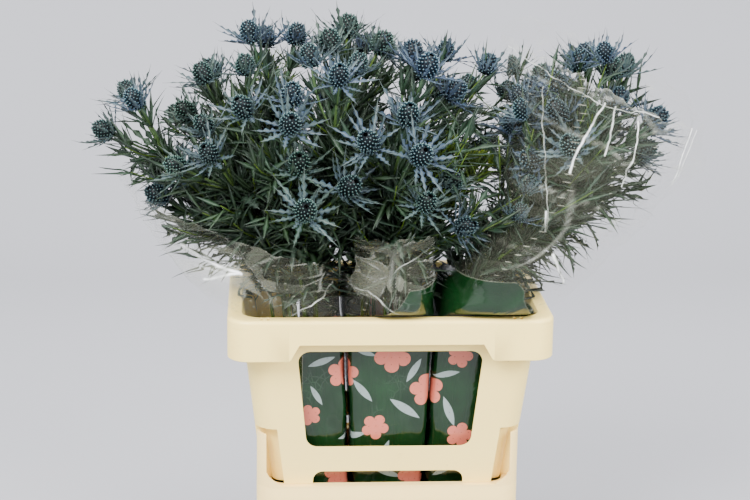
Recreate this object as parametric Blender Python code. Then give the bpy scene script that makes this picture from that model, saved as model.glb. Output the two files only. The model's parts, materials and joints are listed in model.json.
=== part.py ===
"""Cut sea holly in clear film sleeves, standing in a two-part flower trade container.

Metres, +Z up. The origin is the centre of the water container's flat underside, and -Y is the front.
"""

import math

import bpy
import numpy as np
from mathutils import Matrix, Vector
from mathutils.bvhtree import BVHTree

GAP = 0.0003  # between pieces that touch
WALL = 0.0025  # moulded plastic
UP = Vector((0.0, 0.0, 1.0))

# Water container, up to the ledge that the collar stands on
LEDGE_HEIGHT = 0.200
BUCKET_HALF = (0.1320, 0.0870)  # of the body, at the floor
BUCKET_SLOPE = 0.0625  # how much each side leans out, per metre of height
LEDGE_HALF = (0.1610, 0.1160)
LEDGE_SKIRT = 0.045
FLOOR = 0.003
POST_TOP = 0.267
POST_WALL = 0.003
POST_WIDE_X, POST_WIDE_Y = 0.012, 0.027  # how far a corner post reaches along each side
WATER_TOP = 0.045

# Collar
COLLAR_HALF = (0.1540, 0.1020)  # at its foot
COLLAR_SLOPE = 0.120
RIM_HEIGHT = 0.420
RIM_HALF = (0.1950, 0.1450)
RIM_CORNER = 0.028
SKIRT_DEEP = 0.050  # at the corners
SKIRT_SHALLOW = 0.030  # along the middle of the long sides
STEP_HEIGHT = 0.272  # the corners are set back below this
CORNER_RADIUS = 0.027
CORNER_SETBACK = 0.012
WINDOW_BOTTOM, WINDOW_TOP = 0.250, 0.376
WINDOW_HALF_BOTTOM, WINDOW_HALF_TOP = 0.101, 0.1105
WINDOW_CORNER = 0.014
ARCH_TOP, ARCH_HALF, ARCH_CORNER = 0.217, 0.092, 0.012

# Film sleeves: half sizes at a few heights, for the outer ones from the container's middle outwards
FILM = 0.0010
FILM_LEVELS = (0.0453, 0.200, 0.412, 0.4215, 0.427, 0.440, 0.475, 0.530, 0.590, 0.760)
FILM_OUTER = {
    -1: (0.114, 0.134, 0.166, 0.172, 0.198, 0.224, 0.258, 0.296, 0.326, 0.338),
    1: (0.114, 0.134, 0.166, 0.172, 0.196, 0.224, 0.270, 0.320, 0.378, 0.388),
}
FILM_INNER = {
    -1: (0.042, 0.048, 0.057, 0.057, 0.057, 0.058, 0.064, 0.080, 0.090, 0.100),
    1: (0.042, 0.048, 0.057, 0.057, 0.057, 0.060, 0.078, 0.115, 0.138, 0.150),
}
FILM_CENTRE_HALF = (0.038, 0.044, 0.053, 0.053, 0.053, 0.055, 0.061, 0.074, 0.082, 0.085)
FILM_DEPTH_HALF = (0.066, 0.086, 0.104, 0.1215, 0.146, 0.154, 0.164, 0.182, 0.198, 0.200)
# How square a sleeve's outline is: pressed flat against its neighbours and the collar, rounder above
FILM_SQUARENESS = (5.0, 5.0, 5.0, 4.5, 4.0, 3.4, 2.8, 2.5, 2.3, 2.1)
FILM_SIDES = 16
STEM_SPREAD = 0.68  # how much of a sleeve's width the stems fill

# Sprays
SEED = 183
SPRAYS_MAIN, SPRAYS_RIGHT = 20, 7
MAIN_DOME = {"centre": (-0.084, 0.0, 0.560), "half": (0.174, 0.156, 0.166), "widest": 95.0, "turn": 0.1}
RIGHT_DOME = {"centre": (0.244, 0.0, 0.590), "half": (0.070, 0.114, 0.116), "widest": 94.0, "turn": 0.9}
OUTLIER = {"centre": (-0.322, -0.020, 0.655), "axis": (-0.62, -0.10, 0.78)}
DOME_ROUNDNESS = 3.2
YOUNG = (6, 13)  # places along the main dome's spiral
GOLDEN_ANGLE = math.pi * (3.0 - math.sqrt(5.0))
STEM_HALF, FORK_HALF, NECK_HALF = 0.0024, 0.0017, 0.0014
FORK_LENGTH = 0.082
HEAD_SPREAD = 0.031
HEAD_HALF_HEIGHT = 0.015
HEAD_ROWS = ((0.0010, 0.0055), (0.0050, 0.0102), (0.0110, 0.0116), (0.0180, 0.0108), (0.0245, 0.0078))
HEAD_TOP = 0.0300
FLORET = 0.0015
BRACT_LENGTH = 0.042
YOUNG_SIZE = 0.68
# Tries for a blade that meets something: share of its length, and how much further it lifts
BLADE_TRIES = (
    (1.0, 0.0), (1.0, 14.0), (1.0, -12.0), (0.84, 0.0), (0.84, 18.0), (0.68, 0.0), (0.68, 24.0),
    (0.52, 8.0), (0.40, 0.0), (0.40, 30.0),
)  # fmt: skip
CLEAR_OF_OWN, CLEAR_OF_OTHERS = 0.18, 0.02  # where along a blade the test for room starts
BLADE_NEAR = 0.095  # blades further off than this can't meet
HOLE_GAP = 0.0008  # round a stem in the water


def material(name, colour, roughness, alpha=1.0):
    """A plain finish."""
    made = bpy.data.materials.new(name)
    made.use_nodes = True
    shader = made.node_tree.nodes["Principled BSDF"]
    shader.inputs["Base Color"].default_value = (*colour, 1.0)
    shader.inputs["Roughness"].default_value = roughness
    shader.inputs["Metallic"].default_value = 0.0
    shader.inputs["Alpha"].default_value = alpha
    return made


def add_object(name, verts, faces, finish):
    """One object from its points and faces."""
    mesh = bpy.data.meshes.new(name)
    mesh.from_pydata([tuple(v) for v in verts], [], [tuple(f) for f in faces])
    mesh.materials.append(finish)
    made = bpy.data.objects.new(name, mesh)
    bpy.context.scene.collection.objects.link(made)
    return made


def cut_or_join(target, tools, operation, solver="EXACT"):
    """Apply one Boolean of a collection of closed shapes to the target, and remove the shapes."""
    group = bpy.data.collections.new(target.name + "_tools")
    bpy.context.scene.collection.children.link(group)
    for tool in tools:
        bpy.context.scene.collection.objects.unlink(tool)
        group.objects.link(tool)
    step = target.modifiers.new("join", "BOOLEAN")
    step.operation = operation
    step.operand_type = "COLLECTION"
    step.collection = group
    step.solver = solver
    with bpy.context.temp_override(object=target, active_object=target, selected_objects=[target]):
        bpy.ops.object.modifier_apply(modifier=step.name)
    for tool in tools:
        bpy.data.objects.remove(tool)
    bpy.data.collections.remove(group)


def outline(half_x, half_y, radius, setback=0.0, inset=0.0):
    """Points round a rounded rectangle, anticlockwise from the +X side: six at each corner, and two pairs along
    each long side where the collar's skirt changes depth. A setback moves the corner in behind both sides, and
    an inset widens it along them, so that a wall's inner and outer corners stay apart."""
    turns = (0, 0, 30, 60, 90, 90) if setback else (0, 18, 36, 54, 72, 90)
    reach = radius - setback
    reaches = (radius, reach, reach, reach, reach, radius)
    insets = (-inset, -inset, 0.0, 0.0, inset, inset)
    straight = half_x - radius
    points = []
    for quarter, (side_x, side_y) in enumerate(((1, 1), (-1, 1), (-1, -1), (1, -1))):
        for turn, out, along in zip(turns, reaches, insets):
            angle = math.radians(90 * quarter + turn)
            points.append((
                side_x * straight + out * math.cos(angle) - along * math.sin(angle),
                side_y * (half_y - radius) + out * math.sin(angle) + along * math.cos(angle),
            ))  # fmt: skip
        if quarter in (0, 2):
            for share in (0.73, 0.655, -0.655, -0.73):
                points.append((side_x * share * straight, side_y * half_y))
    return points


def at_height(points, height):
    """The outline's points at one height, which may depend on where a point is."""
    return [(x, y, height(x) if callable(height) else height) for x, y in points]


def loft(rings, close=False, caps=False):
    """Quads between rings of the same number of points, closed round to the first ring or capped."""
    size = len(rings[0])
    verts = [point for ring in rings for point in ring]
    faces = []
    for row in range(len(rings) if close else len(rings) - 1):
        low, high = row * size, (row + 1) % len(rings) * size
        for k in range(size):
            following = (k + 1) % size
            faces.append((low + k, low + following, high + following, high + k))
    if caps:
        faces.append(tuple(reversed(range(size))))
        faces.append(tuple(range((len(rings) - 1) * size, len(rings) * size)))
    return verts, faces


def prism(name, profile, low, high, across_y=True):
    """A profile of (across, height) points pushed along Y, or one of (x, y) points pushed up."""
    if across_y:
        rings = [[(a, d, b) for a, b in reversed(profile)] for d in (low, high)]
    else:
        rings = [[(a, b, d) for a, b in profile] for d in (low, high)]
    return add_object(name, *loft(rings, caps=True), None)


def rounded_profile(half_low, half_high, low, high, radius, steps=3, round_foot=True):
    """A four-sided profile, wider or narrower at the top, with round corners, anticlockwise."""
    corners = (
        (-half_low, low, 180, round_foot),
        (half_low, low, 270, round_foot),
        (half_high, high, 0, True),
        (-half_high, high, 90, True),
    )
    points = []
    for x, z, start, is_round in corners:
        if not is_round:
            points.append((x, z))
            continue
        centre_x = x - math.copysign(radius, x)
        centre_z = z + (radius if z == low else -radius)
        for k in range(steps + 1):
            angle = math.radians(start + 90 * k / steps)
            points.append((centre_x + radius * math.cos(angle), centre_z + radius * math.sin(angle)))
    return points


def leaning(half, slope, height, base=0.0):
    """Half sizes of a leaning wall at a height."""
    return half[0] + slope * (height - base), half[1] + slope * (height - base)


def make_bucket(finish):
    """Water container: floor, leaning wall, rim flange with its skirt, and four corner posts."""
    under, skirt_foot = LEDGE_HEIGHT - WALL, LEDGE_HEIGHT - LEDGE_SKIRT
    body = leaning(BUCKET_HALF, BUCKET_SLOPE, under)
    top = leaning(BUCKET_HALF, BUCKET_SLOPE, LEDGE_HEIGHT)
    foot_radius, body_radius, rim_radius = 0.018, 0.020, 0.030
    rings = [
        at_height(outline(BUCKET_HALF[0] - 0.003, BUCKET_HALF[1] - 0.003, foot_radius), 0.0),
        at_height(outline(*leaning(BUCKET_HALF, BUCKET_SLOPE, 0.003), foot_radius), 0.003),
        at_height(outline(*body, body_radius), under),
        at_height(outline(LEDGE_HALF[0] - WALL, LEDGE_HALF[1] - WALL, rim_radius - WALL), under),
        at_height(outline(LEDGE_HALF[0] - WALL, LEDGE_HALF[1] - WALL, rim_radius - WALL), skirt_foot),
        at_height(outline(*LEDGE_HALF, rim_radius), skirt_foot),
        at_height(outline(*LEDGE_HALF, rim_radius), LEDGE_HEIGHT),
        at_height(outline(top[0] - WALL, top[1] - WALL, body_radius - WALL), LEDGE_HEIGHT),
        at_height(outline(*[h - WALL for h in leaning(BUCKET_HALF, BUCKET_SLOPE, FLOOR)], 0.0155), FLOOR),
    ]
    bucket = add_object("bucket", *loft(rings, caps=True), finish)
    post_rings = [
        at_height(outline(LEDGE_HALF[0] - d, LEDGE_HALF[1] - d, rim_radius - d), z)
        for d, z in (
            (0.0002, LEDGE_HEIGHT - 0.001),
            (0.0002, POST_TOP),
            (POST_WALL, POST_TOP),
            (POST_WALL, LEDGE_HEIGHT - 0.001),
        )
    ]
    posts = add_object("posts", *loft(post_rings, close=True), finish)
    straight_x, straight_y = LEDGE_HALF[0] - POST_WIDE_X, LEDGE_HALF[1] - POST_WIDE_Y
    foot, wide = LEDGE_HEIGHT + 0.002, 0.019
    front = [
        (-straight_x + wide, foot), (straight_x - wide, foot), (straight_x, foot + 0.013),
        (straight_x, POST_TOP + 0.01), (-straight_x, POST_TOP + 0.01), (-straight_x, foot + 0.013),
    ]  # fmt: skip
    front_cut = prism("front_cut", front, -0.2, 0.2)
    side = [(y / straight_x * straight_y, z) for y, z in front]
    side_cut = prism("side_cut", side, -0.25, 0.25)
    side_cut.data.transform(quarter_turn())
    cut_or_join(posts, [front_cut, side_cut], "DIFFERENCE")
    cut_or_join(bucket, [posts], "UNION")
    return bucket


def quarter_turn():
    """A turn of 90 degrees about Z."""
    return Matrix.Rotation(math.radians(90), 4, "Z")


def skirt_height(x):
    """Lower edge of the collar's skirt: shallow along the middle of a long side, deep at the ends."""
    return RIM_HEIGHT - (SKIRT_SHALLOW if abs(x) < 0.115 else SKIRT_DEEP)


def make_collar(finish):
    """Collar: leaning wall with set-back corners at its foot, rim flange with a hanging skirt, windows, arches."""
    foot = LEDGE_HEIGHT + GAP

    def wall(height, inwards, setback=0.0):
        half = leaning(COLLAR_HALF, COLLAR_SLOPE, height, LEDGE_HEIGHT)
        radius = CORNER_RADIUS - inwards
        return outline(half[0] - inwards, half[1] - inwards, radius, setback, inwards if setback else 0.0)

    def rim(inwards):
        return outline(RIM_HALF[0] - inwards, RIM_HALF[1] - inwards, RIM_CORNER - inwards)

    under = RIM_HEIGHT - WALL
    rings = [
        at_height(wall(foot, 0.0, CORNER_SETBACK), foot),
        at_height(wall(STEP_HEIGHT, 0.0, CORNER_SETBACK), STEP_HEIGHT),
        at_height(wall(STEP_HEIGHT, 0.0), STEP_HEIGHT + 0.002),
        at_height(wall(under, 0.0), under),
        at_height(rim(WALL), under),
        at_height(rim(WALL), skirt_height),
        at_height(rim(0.0), skirt_height),
        at_height(rim(0.0), RIM_HEIGHT - 0.0015),
        at_height(rim(0.0015), RIM_HEIGHT),
        at_height(wall(RIM_HEIGHT, WALL), RIM_HEIGHT),
        at_height(wall(STEP_HEIGHT, WALL), STEP_HEIGHT + 0.002 + 2 * WALL),
        at_height(wall(STEP_HEIGHT, WALL, CORNER_SETBACK), STEP_HEIGHT + 1.5 * WALL),
        at_height(wall(foot, WALL, CORNER_SETBACK), foot),
    ]
    collar = add_object("collar", *loft(rings, close=True), finish)
    window = rounded_profile(
        WINDOW_HALF_BOTTOM, WINDOW_HALF_TOP, WINDOW_BOTTOM, WINDOW_TOP, WINDOW_CORNER
    )
    arch = rounded_profile(
        ARCH_HALF, ARCH_HALF, LEDGE_HEIGHT - 0.01, ARCH_TOP, ARCH_CORNER, round_foot=False
    )
    cutters = [prism("window_cut", window, -0.128, 0.128), prism("arch_cut", arch, -0.15, 0.15)]
    cut_or_join(collar, cutters, "DIFFERENCE")
    return collar


def sleeve_size(side, height):
    """A sleeve's middle and half sizes at a height, as (middle x, half width, half depth)."""
    depth = np.interp(height, FILM_LEVELS, FILM_DEPTH_HALF)
    if side == 0:
        return 0.0, np.interp(height, FILM_LEVELS, FILM_CENTRE_HALF), depth
    outer = np.interp(height, FILM_LEVELS, FILM_OUTER[side])
    inner = np.interp(height, FILM_LEVELS, FILM_INNER[side])
    return side * (outer + inner) / 2, (outer - inner) / 2, depth


def sleeve_top(side, x, y):
    """Height of a sleeve's upper edge above a place: the tall right one falls towards its outer corner."""
    if side == 1:
        return 0.742 - 0.46 * max(x - 0.145, 0.0) + 0.06 * y
    if side == -1:
        away = np.clip((-x - 0.09) / 0.2, 0.0, 1.0)
        return 0.478 + (0.585 - 0.478) * away
    return 0.462 + (0.068 if y < 0 else 0.028) * np.clip((abs(y) - 0.10) / 0.06, 0.0, 1.0)


def film_ring(side, heights, inwards):
    """Points round a sleeve, one height for each, with folds above the rim on the sides that face out."""
    points = []
    count = len(heights)
    for k, height in enumerate(heights):
        angle = 2 * math.pi * (k + 0.5) / count
        middle, half_width, half_depth = sleeve_size(side, height)
        cosine, sine = math.cos(angle), math.sin(angle)
        sharp = 2 / np.interp(height, FILM_LEVELS, FILM_SQUARENESS)
        outward = max(cosine * side, 0.0) if side else 0.0
        fold = 0.0035 * math.sin(5 * angle + 1.3 * side) * np.clip((height - 0.44) / 0.05, 0, 1)
        fold *= max(outward, abs(sine))
        points.append((
            middle + math.copysign(abs(cosine) ** sharp, cosine) * (half_width - inwards + fold),
            math.copysign(abs(sine) ** sharp, sine) * (half_depth - inwards + fold),
            height,
        ))  # fmt: skip
    return points


def film_faces(rows, size):
    """Triangles of a thin wall, its outer rings upwards and then its inner ones downwards, with the same diagonal
    on both faces of the wall."""
    faces = []
    for row in range(2 * rows):
        low, high = row * size, (row + 1) % (2 * rows) * size
        for k in range(size):
            n = (k + 1) % size
            if row < rows:
                faces += [(low + k, low + n, high + n), (low + k, high + n, high + k)]
            else:
                faces += [(low + k, low + n, high + k), (low + n, high + n, high + k)]
    return faces


def make_sleeve(name, side, finish):
    """One film sleeve: a thin wall, open at both ends, that widens over the rim."""
    low = FILM_LEVELS[0]
    fixed = (low, LEDGE_HEIGHT, 0.412, 0.4215, 0.427, 0.446)
    edge = film_ring(side, [0.55] * FILM_SIDES, 0.0)
    tops = [sleeve_top(side, x, y) for x, y, _ in edge]
    rows = [[height] * FILM_SIDES for height in fixed]
    rows += [[fixed[-1] + (top - fixed[-1]) * share for top in tops] for share in (0.5, 1.0)]
    rings = [film_ring(side, row, 0.0) for row in rows]
    rings += [film_ring(side, row, FILM) for row in reversed(rows)]
    verts = [point for ring in rings for point in ring]
    return add_object(name, verts, film_faces(len(rows), FILM_SIDES), finish)


def superellipsoid(direction, half):
    """Distance to a rounded box's surface along a direction, and its outward normal there."""
    share = [abs(d / h) ** DOME_ROUNDNESS for d, h in zip(direction, half)]
    reach = sum(share) ** (-1 / DOME_ROUNDNESS)
    normal = [
        math.copysign(abs(d * reach / h) ** (DOME_ROUNDNESS - 1) / h, d) for d, h in zip(direction, half)
    ]
    return reach, Vector(normal).normalized()


def dome_places(dome, count, rng):
    """Middles and axes of sprays spread over a dome by the golden angle, from its top down."""
    places = []
    span = 1 - math.cos(math.radians(dome["widest"]))
    for k in range(count):
        polar = math.acos(1 - span * (k + 0.5) / count)
        turn = dome["turn"] + k * GOLDEN_ANGLE
        direction = Vector((
            math.sin(polar) * math.cos(turn), math.sin(polar) * math.sin(turn), math.cos(polar),
        ))  # fmt: skip
        reach, normal = superellipsoid(direction, dome["half"])
        reach *= rng.uniform(0.95, 1.03)
        wobble = Vector(rng.uniform(-0.12, 0.12, 3))
        axis = (normal * 0.62 + UP * 0.55 + wobble).normalized()
        places.append({"middle": Vector(dome["centre"]) + direction * reach, "axis": axis})
    return places


def spread_in_disc(points):
    """Ease points of the unit disc apart until they are about evenly spaced."""
    points = np.array(points, dtype=float)
    wanted = 1.35 / math.sqrt(len(points))
    for _ in range(80):
        apart = points[:, None] - points[None]
        distance = np.linalg.norm(apart, axis=2) + np.eye(len(points))
        push = np.clip(wanted - distance, 0.0, None) * (1 - np.eye(len(points)))
        points += 0.3 * (apart / distance[..., None] * push[..., None]).sum(axis=1)
        length = np.linalg.norm(points, axis=1, keepdims=True)
        points /= np.maximum(length, 1.0)
    return points


def plan_sprays(rng):
    """Every spray's place: its middle and axis on the dome, its sleeve, and its spot in the sleeve."""
    main = dome_places(MAIN_DOME, SPRAYS_MAIN, rng)
    for k in YOUNG:
        main[k]["young"] = True
    outlier = {"middle": Vector(OUTLIER["centre"]), "axis": Vector(OUTLIER["axis"]).normalized()}
    main.sort(key=lambda spray: spray["middle"].x)
    left, centre = main[: SPRAYS_MAIN // 2] + [outlier], main[SPRAYS_MAIN // 2 :]
    right = dome_places(RIGHT_DOME, SPRAYS_RIGHT, rng)
    for side, group in ((-1, left), (0, centre), (1, right)):
        middles = np.array([spray["middle"] for spray in group])[:, :2]
        middles -= middles.mean(axis=0)
        spots = spread_in_disc(middles / (np.abs(middles).max(axis=0) * 1.2))
        for spray, spot in zip(group, spots):
            spray["side"], spray["spot"] = side, spot
    sprays = left + centre + right
    for spray in sprays:
        spray["turn"] = rng.uniform(0, 2 * math.pi)
        spray["size"] = YOUNG_SIZE if spray.get("young") else rng.uniform(0.92, 1.08)
    return sprays


def stem_spot(spray, height):
    """Where a spray's stem passes a height inside its sleeve."""
    middle, half_width, half_depth = sleeve_size(spray["side"], height)
    u, v = spray["spot"] * STEM_SPREAD
    return Vector((middle + half_width * u, half_depth * v, height))


def bezier(points, t):
    """A point on a cubic curve."""
    a, b, c, d = points
    s = 1 - t
    return a * s**3 + b * (3 * s * s * t) + c * (3 * s * t * t) + d * t**3


class Growth:
    """A plant's mesh that grows by pulling its faces out, so that it stays one closed body.

    Faces are anticlockwise seen from outside. Buds are faces kept for blades, pulled out once every
    stem and head stands.
    """

    def __init__(self, foot):
        self.verts = list(foot)
        self.faces = {0: (3, 2, 1, 0), 1: (0, 1, 2, 3)}
        self.made = 2
        self.buds = []

    def add(self, *face):
        self.faces[self.made] = face
        self.made += 1
        return self.made - 1

    def pull(self, face, ring):
        """Pull a four-sided face out to a ring; gives the new end face and the four sides."""
        old = self.faces.pop(face)
        first = len(self.verts)
        self.verts += ring
        sides = [
            self.add(old[k], old[(k + 1) % 4], first + (k + 1) % 4, first + k) for k in range(4)
        ]
        return self.add(first, first + 1, first + 2, first + 3), sides

    def pull_thin(self, face, ring):
        """Pull a four-sided face out to a thin ring, its wide sides split into triangles alike."""
        old = self.faces.pop(face)
        first = len(self.verts)
        self.verts += ring
        new = range(first, first + 4)
        for k in range(4):
            n = (k + 1) % 4
            if k < 2:
                self.add(old[k], old[n], new[n])
                self.add(old[k], new[n], new[k])
            else:
                self.add(old[k], old[n], new[k])
                self.add(old[n], new[n], new[k])
        return self.add(*new)

    def point(self, face, tip):
        """Pull a face out to one point."""
        old = self.faces.pop(face)
        self.verts.append(tip)
        for k in range(4):
            self.add(old[k], old[(k + 1) % 4], len(self.verts) - 1)

    def corners(self, face):
        return [self.verts[k] for k in self.faces[face]]

    def tube(self, face, path, halves, across):
        """Pull a face along a path of points, and give the end face, the last ring's own across and all sides."""
        sides = []
        for k, (point, half) in enumerate(zip(path, halves)):
            before = path[k - 1] if k else sum(self.corners(face), Vector()) / 4
            after = path[k + 1] if k + 1 < len(path) else point
            way = (after - before).normalized()
            across = (across - way * across.dot(way)).normalized()
            face, around = self.pull(face, ring_about(point, way, across, half, half))
            sides.append(around)
        return face, across, sides

    def head(self, face, base, axis, across, size):
        """A flower head on a stem's end: an eight-sided cone of raised florets over a ring of bract buds."""
        quad = self.faces.pop(face)
        wide = (across - axis * across.dot(axis)).normalized()
        deep = axis.cross(wide)
        rows = []
        for row, (height, radius) in enumerate(HEAD_ROWS):
            first = len(self.verts)
            for m in range(8):
                angle = math.radians(225 + 45 * m)
                reach = radius + (FLORET if row > 1 and (row + m) % 2 == 0 else 0.0)
                out = wide * math.cos(angle) + deep * math.sin(angle)
                self.verts.append(base + (axis * height + out * reach) * size)
            rows.append([first + m for m in range(8)])
        for k in range(4):
            a, b = quad[k], quad[(k + 1) % 4]
            start, middle, end = rows[0][2 * k], rows[0][2 * k + 1], rows[0][(2 * k + 2) % 8]
            self.add(a, b, middle)
            self.add(b, end, middle)
            self.add(a, middle, start)
        for m in range(8):
            n = (m + 1) % 8
            bud = self.add(rows[0][m], rows[0][n], rows[1][n], rows[1][m])
            angle = math.radians(247.5 + 45 * m)
            out = wide * math.cos(angle) + deep * math.sin(angle)
            self.buds.append({"face": bud, "kind": "bract", "out": out, "axis": axis, "size": size})
        for row in range(1, len(rows) - 1):
            for m in range(8):
                n = (m + 1) % 8
                a, b, c, d = rows[row][m], rows[row][n], rows[row + 1][n], rows[row + 1][m]
                if (row + m) % 2:
                    self.add(a, b, c)
                    self.add(a, c, d)
                else:
                    self.add(a, b, d)
                    self.add(b, c, d)
        self.verts.append(base + axis * HEAD_TOP * size)
        for m in range(8):
            self.add(rows[-1][m], rows[-1][(m + 1) % 8], len(self.verts) - 1)


def ring_about(centre, way, across, half_wide, half_deep):
    """Four corners about a centre, square to a way."""
    deep = way.cross(across)
    return [
        centre + across * (i * half_wide) + deep * (j * half_deep)
        for i, j in ((-1, -1), (1, -1), (1, 1), (-1, 1))
    ]


def carried_back(path, across):
    """The across direction at the start of a path, carried back along it without twist from its end."""
    for k in range(len(path) - 1, 0, -1):
        way = (path[k] - path[k - 1]).normalized()
        across = (across - way * across.dot(way)).normalized()
    return across


def grow_spray(spray, rng):
    """A spray's stem, fork and three heads, with buds for its leaves and bracts."""
    size, axis, middle = spray["size"], spray["axis"], spray["middle"]
    fork = middle - axis * FORK_LENGTH * size
    foot = stem_spot(spray, WATER_TOP)
    neck = stem_spot(spray, 0.412)
    rise = (fork - neck).length
    curve = (neck, neck + (neck - stem_spot(spray, 0.36)).normalized() * rise * 0.4,
             fork - axis * rise * 0.35, fork)  # fmt: skip
    node = bezier(curve, 0.50)
    node_way = (bezier(curve, 0.52) - bezier(curve, 0.48)).normalized()
    path = [
        Vector((foot.x, foot.y, WATER_TOP + 0.004)),
        stem_spot(spray, LEDGE_HEIGHT),
        neck,
        node - node_way * 0.0025,
        node + node_way * 0.0025,
        bezier(curve, 0.78),
        fork - axis * 0.0022,
        fork + axis * 0.0022,
    ]
    level = axis.cross(UP)
    level = level.normalized() if level.length > 0.1 else Vector((1.0, 0.0, 0.0))
    towards = level * math.cos(spray["turn"]) + axis.cross(level) * math.sin(spray["turn"])
    across = carried_back([Vector((foot.x, foot.y, FLOOR))] + path, towards)
    start = Vector((foot.x, foot.y, FLOOR + GAP))
    half = STEM_HALF * min(size + 0.1, 1.0)
    plant = Growth(ring_about(start, UP, (across - UP * across.dot(UP)).normalized(), half, half))
    halves = [half] * 5 + [half * 0.9, half * 0.85, half * 0.85]
    end, across, sides = plant.tube(1, path, halves, across)
    for ring, length in ((4, 0.075), (7, 0.055)):
        for k in (1, 3):
            out = across * (1 if k == 1 else -1)
            plant.buds.append({
                "face": sides[ring][k], "kind": "leaf", "out": out, "axis": axis if ring == 7 else node_way,
                "length": length * size * rng.uniform(0.8, 1.1), "lift": rng.uniform(15, 50),
            })  # fmt: skip
    deep = axis.cross(across)
    for face, share_across, share_deep in (
        (end, 1.0, 0.0), (sides[7][0], -0.5, -0.87), (sides[7][2], -0.5, 0.87),
    ):  # fmt: skip
        out = across * share_across + deep * share_deep
        rise_by = rng.uniform(-0.010, 0.014) * size
        base = middle + out * HEAD_SPREAD * size + axis * (rise_by - HEAD_HALF_HEIGHT)
        head_axis = (axis + out * rng.uniform(0.15, 0.45)).normalized()
        if face == end:
            route, thick = [base], [NECK_HALF * size]
            hint = across
        else:
            quad = plant.corners(face)
            side_out = deep * math.copysign(1.0, share_deep)
            route = [fork + side_out * 0.014 * size + axis * 0.016 * size, base]
            thick = [FORK_HALF * size, NECK_HALF * size]
            hint = quad[1] - quad[0]
        tip, hint, _ = plant.tube(face, route, thick, hint)
        plant.head(tip, base, head_axis, hint, size)
    return plant


def blade_rings(plant, bud, share, lift):
    """Rings and tip of a bract or leaf: shorter by a share and lifted by some degrees."""
    quad = plant.corners(bud["face"])
    base = sum(quad, Vector()) / 4
    up = math.radians(bud["lift"] + lift)
    way = (bud["out"] * math.cos(up) + bud["axis"] * math.sin(up)).normalized()
    if bud["kind"] == "bract":
        return [], base + way * BRACT_LENGTH * bud["size"] * bud["length"] * share
    across = (quad[1] - quad[0]).normalized()
    across = (across - way * across.dot(way)).normalized()
    length = bud["length"] * share
    rings = [
        ring_about(base + way * length * along, way, across, length * wide, 0.0005)
        for along, wide in ((0.34, 0.20), (0.52, 0.07))
    ]
    return rings, base + way * length


def blade_shell(plant, bud, share, lift, start):
    """The triangles that a blade would have from a share of the way to its first ring, to test for room."""
    rings, tip = blade_rings(plant, bud, share, lift)
    quad = plant.corners(bud["face"])
    following = rings[0] if rings else [tip] * 4
    first = [corner.lerp(other, start) for corner, other in zip(quad, following)]
    verts, faces = list(first), []
    for ring in rings:
        low = len(verts) - 4
        verts += ring
        for k in range(4):
            n = (k + 1) % 4
            faces += [(low + k, low + n, low + 4 + n), (low + k, low + 4 + n, low + 4 + k)]
    low = len(verts) - 4
    verts.append(tip + (tip - verts[low]).normalized() * 0.0015)
    faces += [(low + k, low + (k + 1) % 4, len(verts) - 1) for k in range(4)]
    return verts, faces


def tree_of(verts, faces):
    """A search tree of some faces, split into triangles."""
    split = []
    for face in faces:
        split += [(face[0], face[k], face[k + 1]) for k in range(1, len(face) - 1)]
    return BVHTree.FromPolygons([tuple(v) for v in verts], split, all_triangles=True)


def crosses_own(plant, made_before):
    """Whether faces made since then cross a face of their own plant that shares no corner with them."""
    new, every = [], []
    for key, face in plant.faces.items():
        split = [(face[0], face[k], face[k + 1]) for k in range(1, len(face) - 1)]
        every += split
        if key >= made_before:
            new += split
    verts = [tuple(v) for v in plant.verts]
    new_tree = BVHTree.FromPolygons(verts, new, all_triangles=True)
    whole_tree = BVHTree.FromPolygons(verts, every, all_triangles=True)
    return any(not set(new[a]) & set(every[b]) for a, b in new_tree.overlap(whole_tree))


def pull_blades(plants, solids, rng):
    """Pull out every bud where there is room for its blade, and shorten or lift it where there isn't."""
    solid_trees = [tree_of(*solid) for solid in solids]
    plant_trees = [tree_of(plant.verts, plant.faces.values()) for plant in plants]
    blades, middles = [], np.zeros((0, 3))
    buds = [(owner, bud) for owner, plant in enumerate(plants) for bud in plant.buds]
    for _, bud in buds:
        if bud["kind"] == "bract":
            bud["length"], bud["lift"] = rng.uniform(0.85, 1.12), rng.uniform(10, 42)
    buds.sort(key=lambda pair: pair[1]["kind"] == "leaf")
    for owner, bud in buds:
        plant = plants[owner]
        base = np.array(plant.corners(bud["face"])).mean(axis=0)
        near = np.nonzero(np.linalg.norm(middles - base, axis=1) < BLADE_NEAR)[0]
        others = solid_trees + plant_trees[:owner] + plant_trees[owner + 1 :]
        for share, lift in BLADE_TRIES:
            verts, faces = blade_shell(plant, bud, share, lift, CLEAR_OF_OWN)
            tree = tree_of(verts, faces)
            whole = tree_of(*blade_shell(plant, bud, share, lift, CLEAR_OF_OTHERS))
            if tree.overlap(plant_trees[owner]) or any(whole.overlap(other) for other in others):
                continue
            if any(whole.overlap(blades[k][2]) for k in near if blades[k][0] != owner):
                continue
            if any(tree.overlap(blades[k][1]) for k in near if blades[k][0] == owner):
                continue
            rings, tip = blade_rings(plant, bud, share, lift)
            face, before, made_before = bud["face"], (len(plant.verts), dict(plant.faces)), plant.made
            for ring in rings:
                face = plant.pull_thin(face, ring)
            plant.point(face, tip)
            if crosses_own(plant, made_before):
                plant.verts, plant.faces = plant.verts[: before[0]], before[1]
                continue
            blades.append((owner, tree, whole))
            middles = np.vstack([middles, np.array(verts).mean(axis=0)])
            break


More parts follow.
